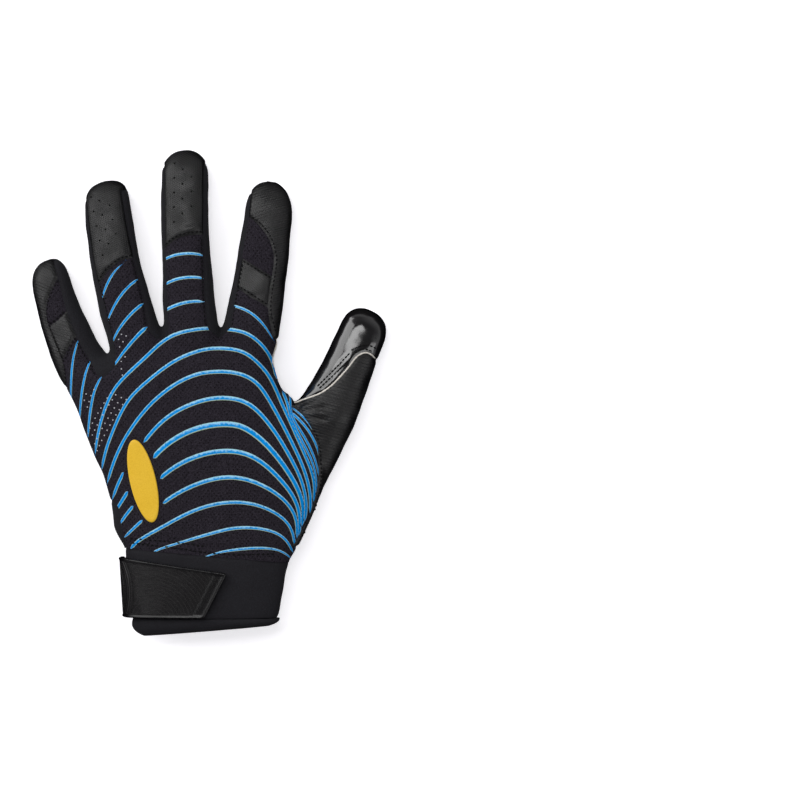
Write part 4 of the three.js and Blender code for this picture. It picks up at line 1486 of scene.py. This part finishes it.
@dataclass
class Cuff:
    """The elastic cuff and the folded hem below it."""

    chart: HandChart
    wall: float = 2.2
    seam_room: float = 0.3
    roll: float = 0.9
    roll_width: float = 0.8
    ruffles: float = 0.7
    hem_gap: float = 0.1
    hem_depth: float = 6.3
    hem_inset: float = 0.6
    hem_taper: float = 6.0
    hem_belly: float = 0.35
    hem_lean: float = 0.08
    hem_ruffles: float = 0.9
    floor_room: float = 0.3

    def ruffle(self, ring: np.ndarray, amount: float) -> np.ndarray:
        """Moves a ring's points slightly, as soft cloth lies.

        Args:
            ring: The ring's points.
            amount: The largest move.

        Returns:
            The moved points.
        """
        middle = ring.mean(axis=0)
        out = unit_rows(ring - middle)
        moved = ring.copy()
        for i, point in enumerate(ring):
            moved[i] += out[i] * amount * noise.noise(Vector(point) * 0.11)
        moved[:, 2] = np.maximum(moved[:, 2], self.floor_room)
        return moved

    def band(self) -> BMesh:
        """Makes the cuff's tube with its rolled top edge.

        Returns:
            The tube.
        """
        chart = self.chart
        rings = []
        for share in np.linspace(0, 1, 26):
            depth = self.seam_room + share * (chart.cuff_depth - 2 * self.seam_room)
            edge = min(depth, chart.cuff_depth - depth)
            rounding = -self.roll * math.exp(-edge / self.roll_width)
            ring = chart.cuff_ring(depth, chart.seam_lean * max(0, 1 - share * 2), rounding)
            rings.append(self.ruffle(ring, self.ruffles))
        for share in np.linspace(1, 0, 8):
            depth = self.seam_room + share * (chart.cuff_depth - 2 * self.seam_room)
            rings.append(chart.cuff_ring(depth, chart.seam_lean * max(0, 1 - share * 2), -self.wall))
        return rings_to_mesh(rings, Ends.JOINED)

    def hem(self) -> BMesh:
        """Makes the hem: cloth turned round at the bottom, a little narrower than the cuff.

        Returns:
            The hem.
        """
        chart = self.chart
        top = chart.cuff_depth + self.hem_gap
        rings = []
        for share in np.linspace(0, 1, 12):
            depth = top + share * self.hem_depth
            inset = self.hem_inset * (1 + self.hem_taper * share ** 3)
            belly = self.hem_belly * math.sin(math.pi * share) - self.roll * share ** 6
            ring = chart.cuff_ring(depth, self.hem_lean * share, belly, inset)
            rings.append(self.ruffle(ring, self.hem_ruffles))
        for share in np.linspace(1, 0, 6):
            depth = top + share * (self.hem_depth - self.seam_room)
            inset = self.hem_inset * (1 + self.hem_taper * share ** 3)
            rings.append(chart.cuff_ring(depth, self.hem_lean * share, -self.wall, inset))
        return rings_to_mesh(rings, Ends.JOINED)

    def build(self, finishes: dict[str, Material]) -> None:
        """Makes the cuff and its hem, with the materials given by name."""
        place_piece(finish_piece("cuff_band_cloth", self.band(), [finishes["neoprene"]]), "cuff", "cuff_band")
        place_piece(finish_piece("cuff_hem_fold", self.hem(), [finishes["neoprene"]]), "cuff", "cuff_hem")


@dataclass
class Strap:
    """The strap round the wrist and the moulded tab on its end."""

    chart: HandChart
    width: float = 30.0
    top: float = -1.5
    reach: float = 55.0
    foot: float = 43.5
    drop: float = 7.6
    under_reach: float = 46.0
    band_near: float = 0.25
    band_far: float = 1.55
    tab_near: float = 1.58
    tab_far: float = 3.6
    rim: float = 1.1
    ring_sides: int = 1440
    ease: int = 30
    past_cuff: float = 3.0
    inset: float = 2.0
    overlap: float = 4.0
    tail: float = 11.0
    tab_left: float = -4.0
    slope_start: float = 6.0
    corner: float = 1.4
    bevel: float = 0.9
    sink: float = 0.45
    end_band: float = 5.4
    end_step: float = 0.22
    crisp: float = 5.0
    leaf: tuple[float, float] = (-22.0, 17.5)
    leaf_reach: float = 33.0
    leaf_pitch: float = 3.4
    sweep: tuple[float, float] = (20.0, 33.0)
    sweep_pitch: float = 1.8

    def wrap(self, travel: np.ndarray, depth: float, grow: np.ndarray | float) -> np.ndarray:
        """Lays places on the strap round the cuff.

        Args:
            travel: The distances from the cuff's little-finger side, over the back.
            depth: The depth below the wrist seam.
            grow: The distance out from the cuff at each place.

        Returns:
            The places on the chart.
        """
        ring = self.chart.cuff_ring(depth, sides=self.ring_sides)[::-1]
        step = np.linalg.norm(np.diff(ring, axis=0, append=ring[:1]), axis=1)
        run = np.concatenate([[0], np.cumsum(step)[:-1]])
        left = int(ring[:, 0].argmin())
        run = run - run[left]
        total = step.sum()
        run = np.where(run < -total / 2, run + total, np.where(run >= total / 2, run - total, run))
        order = np.argsort(run)
        run, ring = run[order], ring[order]
        along = np.gradient(ring, axis=0)
        out = unit_rows(np.stack([-along[:, 2], along[:, 0]], axis=1))
        kernel = np.ones(2 * self.ease + 1) / (2 * self.ease + 1)
        out = unit_rows(np.stack([
            np.convolve(np.pad(side, self.ease, mode="edge"), kernel, "valid") for side in out.T], axis=1))
        x = np.interp(travel, run, ring[:, 0]) + np.interp(travel, run, out[:, 0]) * grow
        z = np.interp(travel, run, ring[:, 2]) + np.interp(travel, run, out[:, 1]) * grow
        return np.stack([x, np.full_like(x, -depth), z], axis=1)

    def travel_to(self, x: float, depth: float) -> float:
        """Finds how far round the strap a place over the back is, from where it lies across the hand."""
        travel = np.linspace(8, 80, 400)
        return float(np.interp(x, self.wrap(travel, depth, self.tab_far)[:, 0], travel))

    def sheet(self, span: tuple[float, float], depths: tuple[float, float], step: float) -> BMesh:
        """Makes a flat sheet on the strap's own measure: x is the travel and y the depth.

        Args:
            span: The travel's first and last value.
            depths: The depth's first and last value.
            step: The size of its faces.

        Returns:
            The sheet.
        """
        bm = bmesh.new()
        columns, lines = (int(math.ceil((pair[1] - pair[0]) / step)) for pair in (span, depths))
        bmesh.ops.create_grid(bm, x_segments=columns, y_segments=lines, size=0.5)
        for vert in bm.verts:
            vert.co.x = span[0] + (vert.co.x + 0.5) * (span[1] - span[0])
            vert.co.y = depths[0] + (vert.co.y + 0.5) * (depths[1] - depths[0])
        return bm

    def wrap_mesh(self, bm: BMesh) -> None:
        """Bends a sheet round the cuff; each vertex's z says how far out it lies.

        Args:
            bm: The sheet.
        """
        rows: dict[float, list[bmesh.types.BMVert]] = {}
        for vert in bm.verts:
            rows.setdefault(round(vert.co.y, 2), []).append(vert)
        for depth, verts in rows.items():
            travel = np.array([vert.co.x for vert in verts])
            grow = np.array([vert.co.z for vert in verts])
            for vert, point in zip(verts, self.wrap(travel, depth, grow)):
                vert.co = point

    def band(self) -> BMesh:
        """Makes the strap itself, from the palm side to under the tab.

        Returns:
            The strap.
        """
        depths = (self.inset - self.top, self.width - self.inset - self.top)
        end = self.travel_to(self.chart_left + self.foot - self.overlap, depths[1])
        bm = self.sheet((-self.under_reach - self.tail, end), depths, 1.0)
        bmesh.ops.bisect_plane(
            bm, geom=[*bm.verts, *bm.edges, *bm.faces], dist=0.01, clear_outer=True,
            plane_co=(self.slope_start, depths[0], 0),
            plane_no=(self.drop, self.slope_start - self.tab_end()[0, 0], 0))
        for vert in bm.verts:
            vert.co.z = self.band_far
        made = bmesh.ops.extrude_face_region(bm, geom=list(bm.faces))["geom"]
        for vert in (item for item in made if isinstance(item, bmesh.types.BMVert)):
            vert.co.z = self.band_near
        self.wrap_mesh(bm)
        bmesh.ops.recalc_face_normals(bm, faces=bm.faces)
        return bm

    @property
    def chart_left(self) -> float:
        """Gives where the strap's left side lies across the hand."""
        middle = self.chart.wrist_across * self.chart.knuckle_width
        return middle - self.chart.cuff_top_width / 2 - self.past_cuff

    def tab_end(self) -> np.ndarray:
        """Finds the two corners of the tab's sloping end on the strap's own measure.

        Returns:
            The upper and the lower corner.
        """
        high, low = self.drop - self.top, self.width - self.top
        return np.array([(self.travel_to(self.chart_left + self.reach, high), high),
                         (self.travel_to(self.chart_left + self.foot, low), low)])

    def tab_outline(self) -> np.ndarray:
        """Draws the tab's outline on the strap's own measure, with rounded corners.

        Returns:
            The outline's points.
        """
        high, low = -self.top, self.width - self.top
        left = self.tab_left
        corners = np.array([(left, high), (self.slope_start, high), *self.tab_end(), (left, low)])
        rounded = []
        for i, corner in enumerate(corners):
            before, after = corners[i - 1], corners[(i + 1) % len(corners)]
            start = corner + (before - corner) / np.linalg.norm(before - corner) * self.corner
            stop = corner + (after - corner) / np.linalg.norm(after - corner) * self.corner
            for t in np.linspace(0, 1, 6):
                rounded.append((1 - t) ** 2 * start + 2 * t * (1 - t) * corner + t * t * stop)
        return np.array(rounded)

    def tab(self) -> BMesh:
        """Makes the moulded tab with its bevelled rim, plain end band and thin raised lines.

        Returns:
            The tab.
        """
        outline = self.tab_outline()
        low, high = outline.min(axis=0) - 1, outline.max(axis=0) + 1
        bm = self.sheet((low[0], high[0]), (low[1], high[1]), 0.5)
        cut_along(bm, outline_distance(places(bm)[:, :2], outline))
        drop_faces(bm, outline_distance(face_places(bm), outline) > 0)
        relief = bm.verts.layers.float.new("relief")
        where = places(bm)[:, :2]
        inward = -outline_distance(where, outline)
        corners = self.tab_end()
        end = segment_distance(where, corners[:1], corners[1:])[0][:, 0]
        thick = self.tab_far - self.tab_near
        for vert, d, e, (x, y) in zip(bm.verts, inward, end, where):
            edge = thick * (0.5 + 0.5 * math.sqrt(max(0.0, 1 - (1 - min(d / self.bevel, 1)) ** 2)))
            sunk = self.sink / (1 + math.exp(-(d - self.rim) * self.crisp))
            band = self.end_step / (1 + math.exp(-(e - self.end_band) * self.crisp))
            vert.co.z = self.tab_near + edge - sunk - band
            in_field = d > self.rim + 0.6 and e > self.end_band + 0.8
            leaf = math.hypot(x - self.leaf[0], y - self.leaf[1])
            sweep = math.hypot(x - self.sweep[0], y - self.sweep[1])
            lines = (leaf - 24.0) / self.leaf_pitch if leaf < self.leaf_reach else sweep / self.sweep_pitch
            vert[relief] = lines if in_field else 0.5
        self.close_under(bm)
        return bm

    def close_under(self, bm: BMesh) -> None:
        """Gives the tab its underside and bends it round the cuff.

        Args:
            bm: The tab's upper side on the strap's own measure.
        """
        made = bmesh.ops.extrude_face_region(bm, geom=list(bm.faces))["geom"]
        for vert in (item for item in made if isinstance(item, bmesh.types.BMVert)):
            vert.co.z = self.tab_near
        self.wrap_mesh(bm)
        bmesh.ops.recalc_face_normals(bm, faces=bm.faces)

    def build(self, finishes: dict[str, Material]) -> None:
        """Makes the strap and its tab.

        Args:
            finishes: The materials by name.
        """
        webbing = finish_piece("strap_webbing", self.band(), [finishes["webbing"]])
        place_piece(webbing, "strap", "strap_band")
        tab = finish_piece("strap_tab_moulded", self.tab(), [finishes["moulded"]], crease=60)
        place_piece(tab, "moulded", "strap_tab")


@dataclass
class OvalBadge:
    """The plain oval of heat-pressed film on the back of the hand."""

    chart: HandChart
    half_length: float = 21.0
    half_width: float = 6.5
    tilt: float = 13.0
    thickness: float = 0.75
    up: float = 0.33
    across: float = -0.64
    film: float = 0.02
    sides: int = 72
    # Each ring of its top: its size as a share, and its height as a share of the thickness.
    profile: tuple[tuple[float, float], ...] = (
        (1.0, 0.0), (1.0, 0.4667), (0.985, 0.8), (0.955, 1.0), (0.9, 1.0), (0.75, 1.0), (0.6, 1.0),
        (0.45, 1.0), (0.3, 1.0), (0.15, 1.0), (0.03, 1.0),
    )

    @property
    def middle(self) -> np.ndarray:
        """Gives the badge's middle in plan."""
        return self.chart.place("hand", self.up, self.across)

    def build(self, surface: BVHTree, finish: Material) -> None:
        """Lays the badge on the back.

        Args:
            surface: The hand's skin.
            finish: The film.
        """
        cos, sin = math.cos(math.radians(self.tilt)), math.sin(math.radians(self.tilt))
        rings = []
        for share, rise in self.profile:
            ring = []
            for angle in np.arange(self.sides) * 2 * math.pi / self.sides:
                u, v = self.half_width * share * math.cos(angle), self.half_length * share * math.sin(angle)
                spot = self.middle + np.array([u * cos - v * sin, u * sin + v * cos])
                hit, normal, _, _ = surface.ray_cast(Vector((*spot, ABOVE)), Vector((0, 0, -1)))
                ring.append(hit + normal * (self.thickness * rise + self.film))
            rings.append(np.array(ring))
        badge = rings_to_mesh(rings, Ends.CAPPED)
        place_piece(finish_piece("back_badge_film", badge, [finish], crease=80), "badge", "back_badge")


# Sewing and small trim


@dataclass(frozen=True)
class SeamRow:
    """A row of stitches: its corners, how far left of that line it lies, its spacing and the share sewn."""

    corners: list[tuple[str, float, float]]
    beside: float = 0.0
    pitch: float = 2.1
    cover: float = 0.68


SEAM_ROWS = {
    "middle tip": SeamRow(on("middle", 0.462, -0.78, 0.5, -0.38, 0.52, 0.14, 0.525, 0.72), 1.1),
    "ring tip": SeamRow(on("ring", 0.395, -0.72, 0.45, -0.4, 0.5, 0.2, 0.512, 0.72), 1.1),
    "index tip": SeamRow(on("index", 0.735, -0.68) + INDEX_SEAM + on("index", 0.2, 0.52, 0.04, 0.82), 1.0),
    "index patch top": SeamRow(on("index", 0.47, -0.7, 0.388, 0.45), -1.0),
    "index patch foot": SeamRow(on("index", 0.283, -0.7, 0.195, 0.42), 1.0),
    "little side": SeamRow(
        on("little", 0.8, 0.36) + LITTLE_SEAM + on("little", 0.12, -0.66, -0.1, -1.0), 1.0),
    "little patch top": SeamRow(on("little", 0.445, -0.6, 0.461, -0.2, 0.5, 0.26), 1.0),
    "little patch foot": SeamRow(on("little", 0.29, 0.26, 0.22, -0.13, 0.13, -0.58), 1.0),
    "grip line, outer": SeamRow(on("thumb", 0.21, -0.7, 0.4, -0.44, 0.581, -0.16), 0.0, 1.95, 0.95),
    "grip line, inner": SeamRow(on("thumb", 0.2, -0.6, 0.38, -0.33, 0.542, -0.02), 0.0, 1.95, 0.95),
    "grip arc, outer": SeamRow(on("thumb", 0.61, -0.16, 0.66, 0.05, 0.7, 0.32, 0.715, 0.6, 0.71, 0.82),
            0.0, 1.95, 0.95),
    "grip arc, inner": SeamRow(on("thumb", 0.6, 0.0, 0.64, 0.15, 0.672, 0.4, 0.675, 0.75), 0.0, 1.95, 0.95),
    "thumb leather": SeamRow(on("hand", 0.06, 1.0) + THUMB_SEAM, -1.0),
    "wrist": SeamRow(on("hand", 0.04, -0.86, 0.02, -0.4, -0.002, 0.0, -0.012, 0.4, -0.01, 0.86), 1.4, 2.4),
    "wrist, upper": SeamRow(on("hand", 0.06, -0.86, 0.045, -0.4, 0.025, 0.0), 1.4, 2.4),
    "ring and middle fork": SeamRow(on("ring", 0.5, 0.76, 0.231, 0.73, 0.1, 0.6), -0.9),
    "middle and index fork": SeamRow(on("middle", 0.5, 0.76, 0.38, 0.72, 0.144, 0.64, 0.03, 0.62), -0.9),
    "index fork": SeamRow(on("index", 0.04, -0.7, 0.172, -0.76, 0.45, -0.78), -0.9),
    "little and ring fork": SeamRow(on("little", 0.27, 0.32, 0, 0.35, -0.09, 0.42), -0.9),
    "ring fork": SeamRow(on("ring", 0.06, -0.77, 0.38, -0.78), -0.9),
}


@dataclass
class Trim:
    """Stitches, raw edges and vent dots, laid on the hand's skin."""

    chart: HandChart
    surface: BVHTree
    thread: float = 0.8
    thread_rise: float = 0.12
    edge: float = 0.42
    dot: float = 0.34
    dot_rise: float = 0.12
    side_start: float = 62.0
    side_height: float = 11.5
    side_step: float = 0.8

    def lay(self, spot: np.ndarray) -> tuple[Vector, Vector] | None:
        """Drops a place in plan onto the glove.

        Args:
            spot: The place in plan.

        Returns:
            The place on the skin and the skin's direction there, or None off the glove.
        """
        above = Vector((float(spot[0]), float(spot[1]), ABOVE))
        hit, normal, _, _ = self.surface.ray_cast(above, Vector((0, 0, -1)))
        return None if hit is None else (hit, normal)

    def path(self, row: SeamRow) -> np.ndarray:
        """Draws a row's line in plan, moved sideways.

        Args:
            row: The row of stitches.

        Returns:
            The line's points.
        """
        line = soften(self.chart.points(row.corners), closed=False, steps=10, corner=60)
        ahead = unit_rows(np.gradient(line, axis=0))
        return line + np.stack([-ahead[:, 1], ahead[:, 0]], axis=1) * row.beside

    def stitches(self) -> BMesh:
        """Sews every row.

        Returns:
            The stitches in one mesh.
        """
        bm = bmesh.new()
        for row in SEAM_ROWS.values():
            line = self.path(row)
            run = run_along(line)
            half = row.cover * row.pitch / 2
            for at in np.arange(row.pitch / 2, run[-1], row.pitch):
                ends = [self.lay(np.array([np.interp(at + d, run, line[:, k]) for k in (0, 1)]))
                        for d in (-half, half)]
                if None in ends or (ends[0][0] - ends[1][0]).length > 4 * half:
                    continue
                middle = (ends[0][0] + ends[1][0]) / 2
                up = (ends[0][1] + ends[1][1]).normalized()
                along = (ends[1][0] - ends[0][0]).normalized()
                side = up.cross(along).normalized()
                up = along.cross(side)
                turn = Matrix((along, side, up)).transposed().to_4x4()
                size = Matrix.Diagonal((half, self.thread / 2, self.thread / 2, 1))
                lying = Matrix.Translation(middle + up * self.thread_rise) @ turn @ size
                bmesh.ops.create_uvsphere(bm, u_segments=8, v_segments=5, radius=1.0, matrix=lying)
        return bm

    def along(self, corners: list[tuple[str, float, float]], steps: int) -> list[tuple[Vector, Vector]]:
        """Follows a drawn line over the back and gives the places on the skin, with its directions there."""
        line = soften(self.chart.points(corners), closed=False, steps=steps, corner=60)
        return [found for found in (self.lay(spot) for spot in line) if found]

    def down_side(self, start: float, end: float) -> list[tuple[Vector, Vector]]:
        """Follows the edge of the palm leather down the hand's side from the index finger to the thumb.

        Args:
            start: Where it starts along the glove.
            end: Where it ends.

        Returns:
            The places on the skin and its directions there.
        """
        spots = []
        for y in np.arange(start, end, -self.side_step):
            beside = Vector((self.side_start, float(y), self.side_height))
            hit, normal, _, _ = self.surface.ray_cast(beside, Vector((-1, 0, 0)))
            if hit is not None:
                spots.append((hit, normal))
        return spots

    def cord(self, spots: list[tuple[Vector, Vector]], rise: float, radius: float) -> BMesh:
        """Lays a thin round edge along a line.

        Args:
            spots: The line's places on the skin, with the skin's directions.
            rise: How high its middle lies over the skin.
            radius: Its radius.

        Returns:
            The edge.
        """
        middles = [hit + normal * rise for hit, normal in spots]
        rings = []
        for i, middle in enumerate(middles):
            along = (middles[min(i + 1, len(middles) - 1)] - middles[max(i - 1, 0)]).normalized()
            side = along.cross(spots[i][1]).normalized()
            up = side.cross(along)
            ease = min(1.0, 0.3 + min(i, len(middles) - 1 - i) * 0.25)
            thick = radius * ease * (1 + 0.3 * noise.noise(middle * 0.9))
            turn = np.arange(8) * math.pi / 4
            rings.append(np.array([
                middle + (side * math.cos(a) + up * math.sin(a)) * thick for a in turn]))
        return rings_to_mesh(rings, Ends.CAPPED)

    def dots(self) -> BMesh:
        """Lays the small light vent dots between the first stripes, in staggered rows.

        Returns:
            The dots in one mesh.
        """
        bm = bmesh.new()
        spots = [(-33.5, 109.5), (-31.1, 108.7), (-35.0, 107.0), (-32.7, 105.8), (-34.5, 103.3),
                 (-31.7, 98.3), (-33.5, 96.0), (-33.3, 92.3), (-32.7, 89.2), (-47.0, 82.0), (-51.0, 79.8),
                 (-48.5, 79.0), (-52.0, 76.7), (-49.5, 76.0), (-50.5, 73.3)]
        for start, run, count in (((-38.5, 80.3), (-1.75, -2.5), 9), ((-33.2, 78.0), (-1.8, -2.55), 11)):
            for i in range(count):
                x, y = start[0] + run[0] * i + 0.03 * i * i, start[1] + run[1] * i
                spots += [(x, y), (x + 2.5, y - 0.9)]
        for spot in spots:
            found = self.lay(np.array(spot))
            if found:
                turn = found[1].to_track_quat("Z", "Y").to_matrix().to_4x4()
                size = Matrix.Diagonal((self.dot, self.dot, self.dot_rise, 1))
                bmesh.ops.create_uvsphere(bm, u_segments=10, v_segments=6, radius=1.0,
                                          matrix=Matrix.Translation(found[0]) @ turn @ size)
        return bm

    def build(self, finishes: dict[str, Material]) -> None:
        """Makes the trim.

        Args:
            finishes: The materials by name.
        """
        place_piece(finish_piece("seam_stitches", self.stitches(), [finishes["thread"]]), "lycra")
        grip_edge = on("thumb", 0.0, -1.07, 0.02, -0.98) + GRIP_SEAM + on("thumb", 0.63, 0.9)
        white = self.cord(self.along(grip_edge, 8), 0.1, self.edge)
        merge_into(white, self.cord(self.down_side(107.0, 92.0), 0.4, self.edge))
        place_piece(finish_piece("white_raw_edge", white, [finishes["raw edge"]]), "grip")
        place_piece(finish_piece("vent_dots", self.dots(), [finishes["vent"]]), "knit")


# Studio


@dataclass
class Studio:
    """A faintly lit white table seen from straight above, under large soft lights."""

    view_width: float = 0.4
    lens: float = 150.0
    middle: tuple[float, float] = (0.09575, -0.004)
    table_glow: float = 0.58
    sensor: float = 36.0
    glove_rise: float = 0.012
    air: str = "F6F5F8"
    air_low: float = 0.5
    air_high: float = 0.08
    samples: int = 160
    picture: int = 800

    def floor(self) -> None:
        """Lays the pale table under the glove."""
        bm = bmesh.new()
        bmesh.ops.create_grid(bm, x_segments=1, y_segments=1, size=3.0)
        mesh = bpy.data.meshes.new("table")
        bm.to_mesh(mesh)
        bm.free()
        table = bpy.data.objects.new("table", mesh)
        table.location.z = -0.0003
        mesh.materials.append(PlainFinish("light table", "FBFAFD", 0.9, specular=0.1, second="FDFDFF",
                                          depth=0.001, glow=self.table_glow).build())
        # The glove's sides stay dark, as on the cut-out photograph: the table lights and mirrors nothing.
        table.visible_diffuse = table.visible_glossy = False
        bpy.context.scene.collection.objects.link(table)

    def light(self, name: str, place: tuple[float, float, float], size: tuple[float, float],
              power: float) -> None:
        """Hangs a soft light that looks at the glove.

        Args:
            name: Its name.
            place: Where it hangs, in metres.
            size: Its width and height.
            power: Its power in watts.
        """
        lamp = bpy.data.lights.new(name, "AREA")
        lamp.shape = "RECTANGLE"
        lamp.size, lamp.size_y = size
        lamp.energy = power
        holder = bpy.data.objects.new(name, lamp)
        holder.location = place
        holder.rotation_euler = (Vector((0, 0, 0)) - Vector(place)).to_track_quat("-Z", "Y").to_euler()
        bpy.context.scene.collection.objects.link(holder)

    def camera(self) -> None:
        """Hangs the camera straight above, framed as the photograph is."""
        lens = bpy.data.cameras.new("camera")
        lens.lens = self.lens
        lens.sensor_width = self.sensor
        lens.clip_start, lens.clip_end = 0.01, 50
        holder = bpy.data.objects.new("camera", lens)
        distance = self.view_width * self.lens / self.sensor
        holder.location = (*self.middle, distance + self.glove_rise)
        bpy.context.scene.collection.objects.link(holder)
        bpy.context.scene.camera = holder

    def build(self) -> None:
        """Sets up the table, the lights, the camera and the picture."""
        self.floor()
        self.light("key softbox", (-0.95, 0.6, 0.8), (1.3, 1.3), 15)
        self.light("fill softbox", (1.05, -0.5, 0.9), (0.9, 0.9), 5)
        self.light("top softbox", (-0.12, 0.46, 1.45), (0.8, 0.5), 6)
        self.camera()
        scene = bpy.context.scene
        world = bpy.data.worlds.new("studio air")
        scene.world = world
        world.use_nodes = True
        tree = world.node_tree
        height = add_node(tree, "SeparateXYZ", (add_node(tree, "TexCoord", output="Generated"),), 2)
        # The air is bright low down and dim overhead, and dark below the horizon.
        above = add_node(tree, "MapRange", (height, -0.05, 0.08), **SMOOTHLY)
        dusk = add_node(tree, "MapRange", (height, 0.1, 0.85, self.air_low, self.air_high), **SMOOTHLY)
        air = tree.nodes["Background"]
        air.inputs[0].default_value = srgb(self.air)
        tree.links.new(add_node(tree, "Math", (dusk, above), operation="MULTIPLY"), air.inputs[1])
        scene.render.engine = "CYCLES"
        scene.cycles.samples = self.samples
        scene.cycles.use_denoising = True
        scene.render.resolution_x = scene.render.resolution_y = self.picture
        scene.render.resolution_percentage = 100
        scene.view_settings.view_transform = "Standard"
        scene.view_settings.look = "None"
        scene.view_settings.exposure = 0.0


def glove_finishes(panels: tuple[Panel, ...]) -> dict[str, Material]:
    """Makes every material of the glove.

    Args:
        panels: The sewn panels, for the slants of their leather.

    Returns:
        The materials by name.
    """
    made = {
        # A dull black cloth with rows of tiny holes; the dyed stripes sink in and stay as matt as the cloth.
        "knit": KnitFinish("polyester mesh knit, printed", "1F1C22", 0.95, specular=0.1).build(),
        # Smooth stretch jersey: the flattest black on the glove.
        "lycra": StretchClothFinish("elastane jersey", "161519", 0.85, sheen=0.05, specular=0.2).build(),
        # Foam-backed jersey: as black, a little smoother, with a soft broad sheen.
        "neoprene": StretchClothFinish("neoprene with jersey face", "19181C", 0.75, sheen=0.03, specular=0.16,
                                       rib=0.6, depth=0.03).build(),
        "webbing": StretchClothFinish("elastic webbing", "131316", 0.8, specular=0.3, rib=1.2,
                                      depth=0.12).build(),
        # A wet-looking film that mirrors the softboxes in broad smears.
        "grip": GripFinish("silicone grip film", "0C0C0D", 0.13, coat=1.0, specular=0.5).build(),
        # The same film printed in low cells, so its shine is broken up.
        "palm": GripFinish("silicone grip print", "0F0F10", 0.32, coat=0.2, depth=0.12, cell=1.6).build(),
        # A hard smooth moulding: black where it faces the viewer, with glints on its edges and raised lines;
        # the lines' lighter colour is a painted highlight.
        "moulded": MouldedTabFinish("moulded thermoplastic rubber", "0D0C0E", 0.27, specular=0.34).build(),
        "lining": StretchClothFinish("brushed tricot lining", "1C1C20", 0.95, sheen=0.2,
                                     specular=0.2).build(),
        # Spun polyester thread, a shade shinier than the cloth.
        "thread": PlainFinish("polyester thread", "040405", 0.7, specular=0.15, second="0A0A0C").build(),
        "raw edge": PlainFinish("undyed leather backing", "EDE9E2", 0.8, second="CFC8BC").build(),
        "vent": PlainFinish("light backing cloth", "C9C9CF", 0.8, second="B4B4BC").build(),
        # Flat heat-pressed film with a faint cloth print-through.
        "badge": PlainFinish("heat-pressed vinyl film", "EDC02F", 0.5, specular=0.35, second="E6B626",
                             grain=1.6, depth=0.03).build(),
    }
    for panel in panels:
        if panel.kind is PanelKind.LEATHER:
            made[f"leather {panel.slant:.0f}"] = LeatherFinish(
                f"embossed synthetic leather {panel.slant:.0f}", "0E0D0F", 0.4, specular=0.55,
                slant=panel.slant, ribbed=panel.ribbed).build()
    return made


def main() -> None:
    """Builds the glove's classes in order and reports each piece."""
    logging.basicConfig(level=logging.INFO, format="%(name)s %(message)s")
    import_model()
    chart = HandChart()
    hand = SewnHand(chart)
    badge = OvalBadge(chart)
    finishes = glove_finishes(hand.panels)
    hand.build(finishes, (badge.middle, badge.half_length, badge.half_width, badge.tilt))
    Cuff(chart).build(finishes)
    Strap(chart).build(finishes)
    badge.build(hand.surface, finishes["badge"])
    Trim(chart, hand.surface).build(finishes)
    Studio().build()


if __name__ == "__main__":
    main()
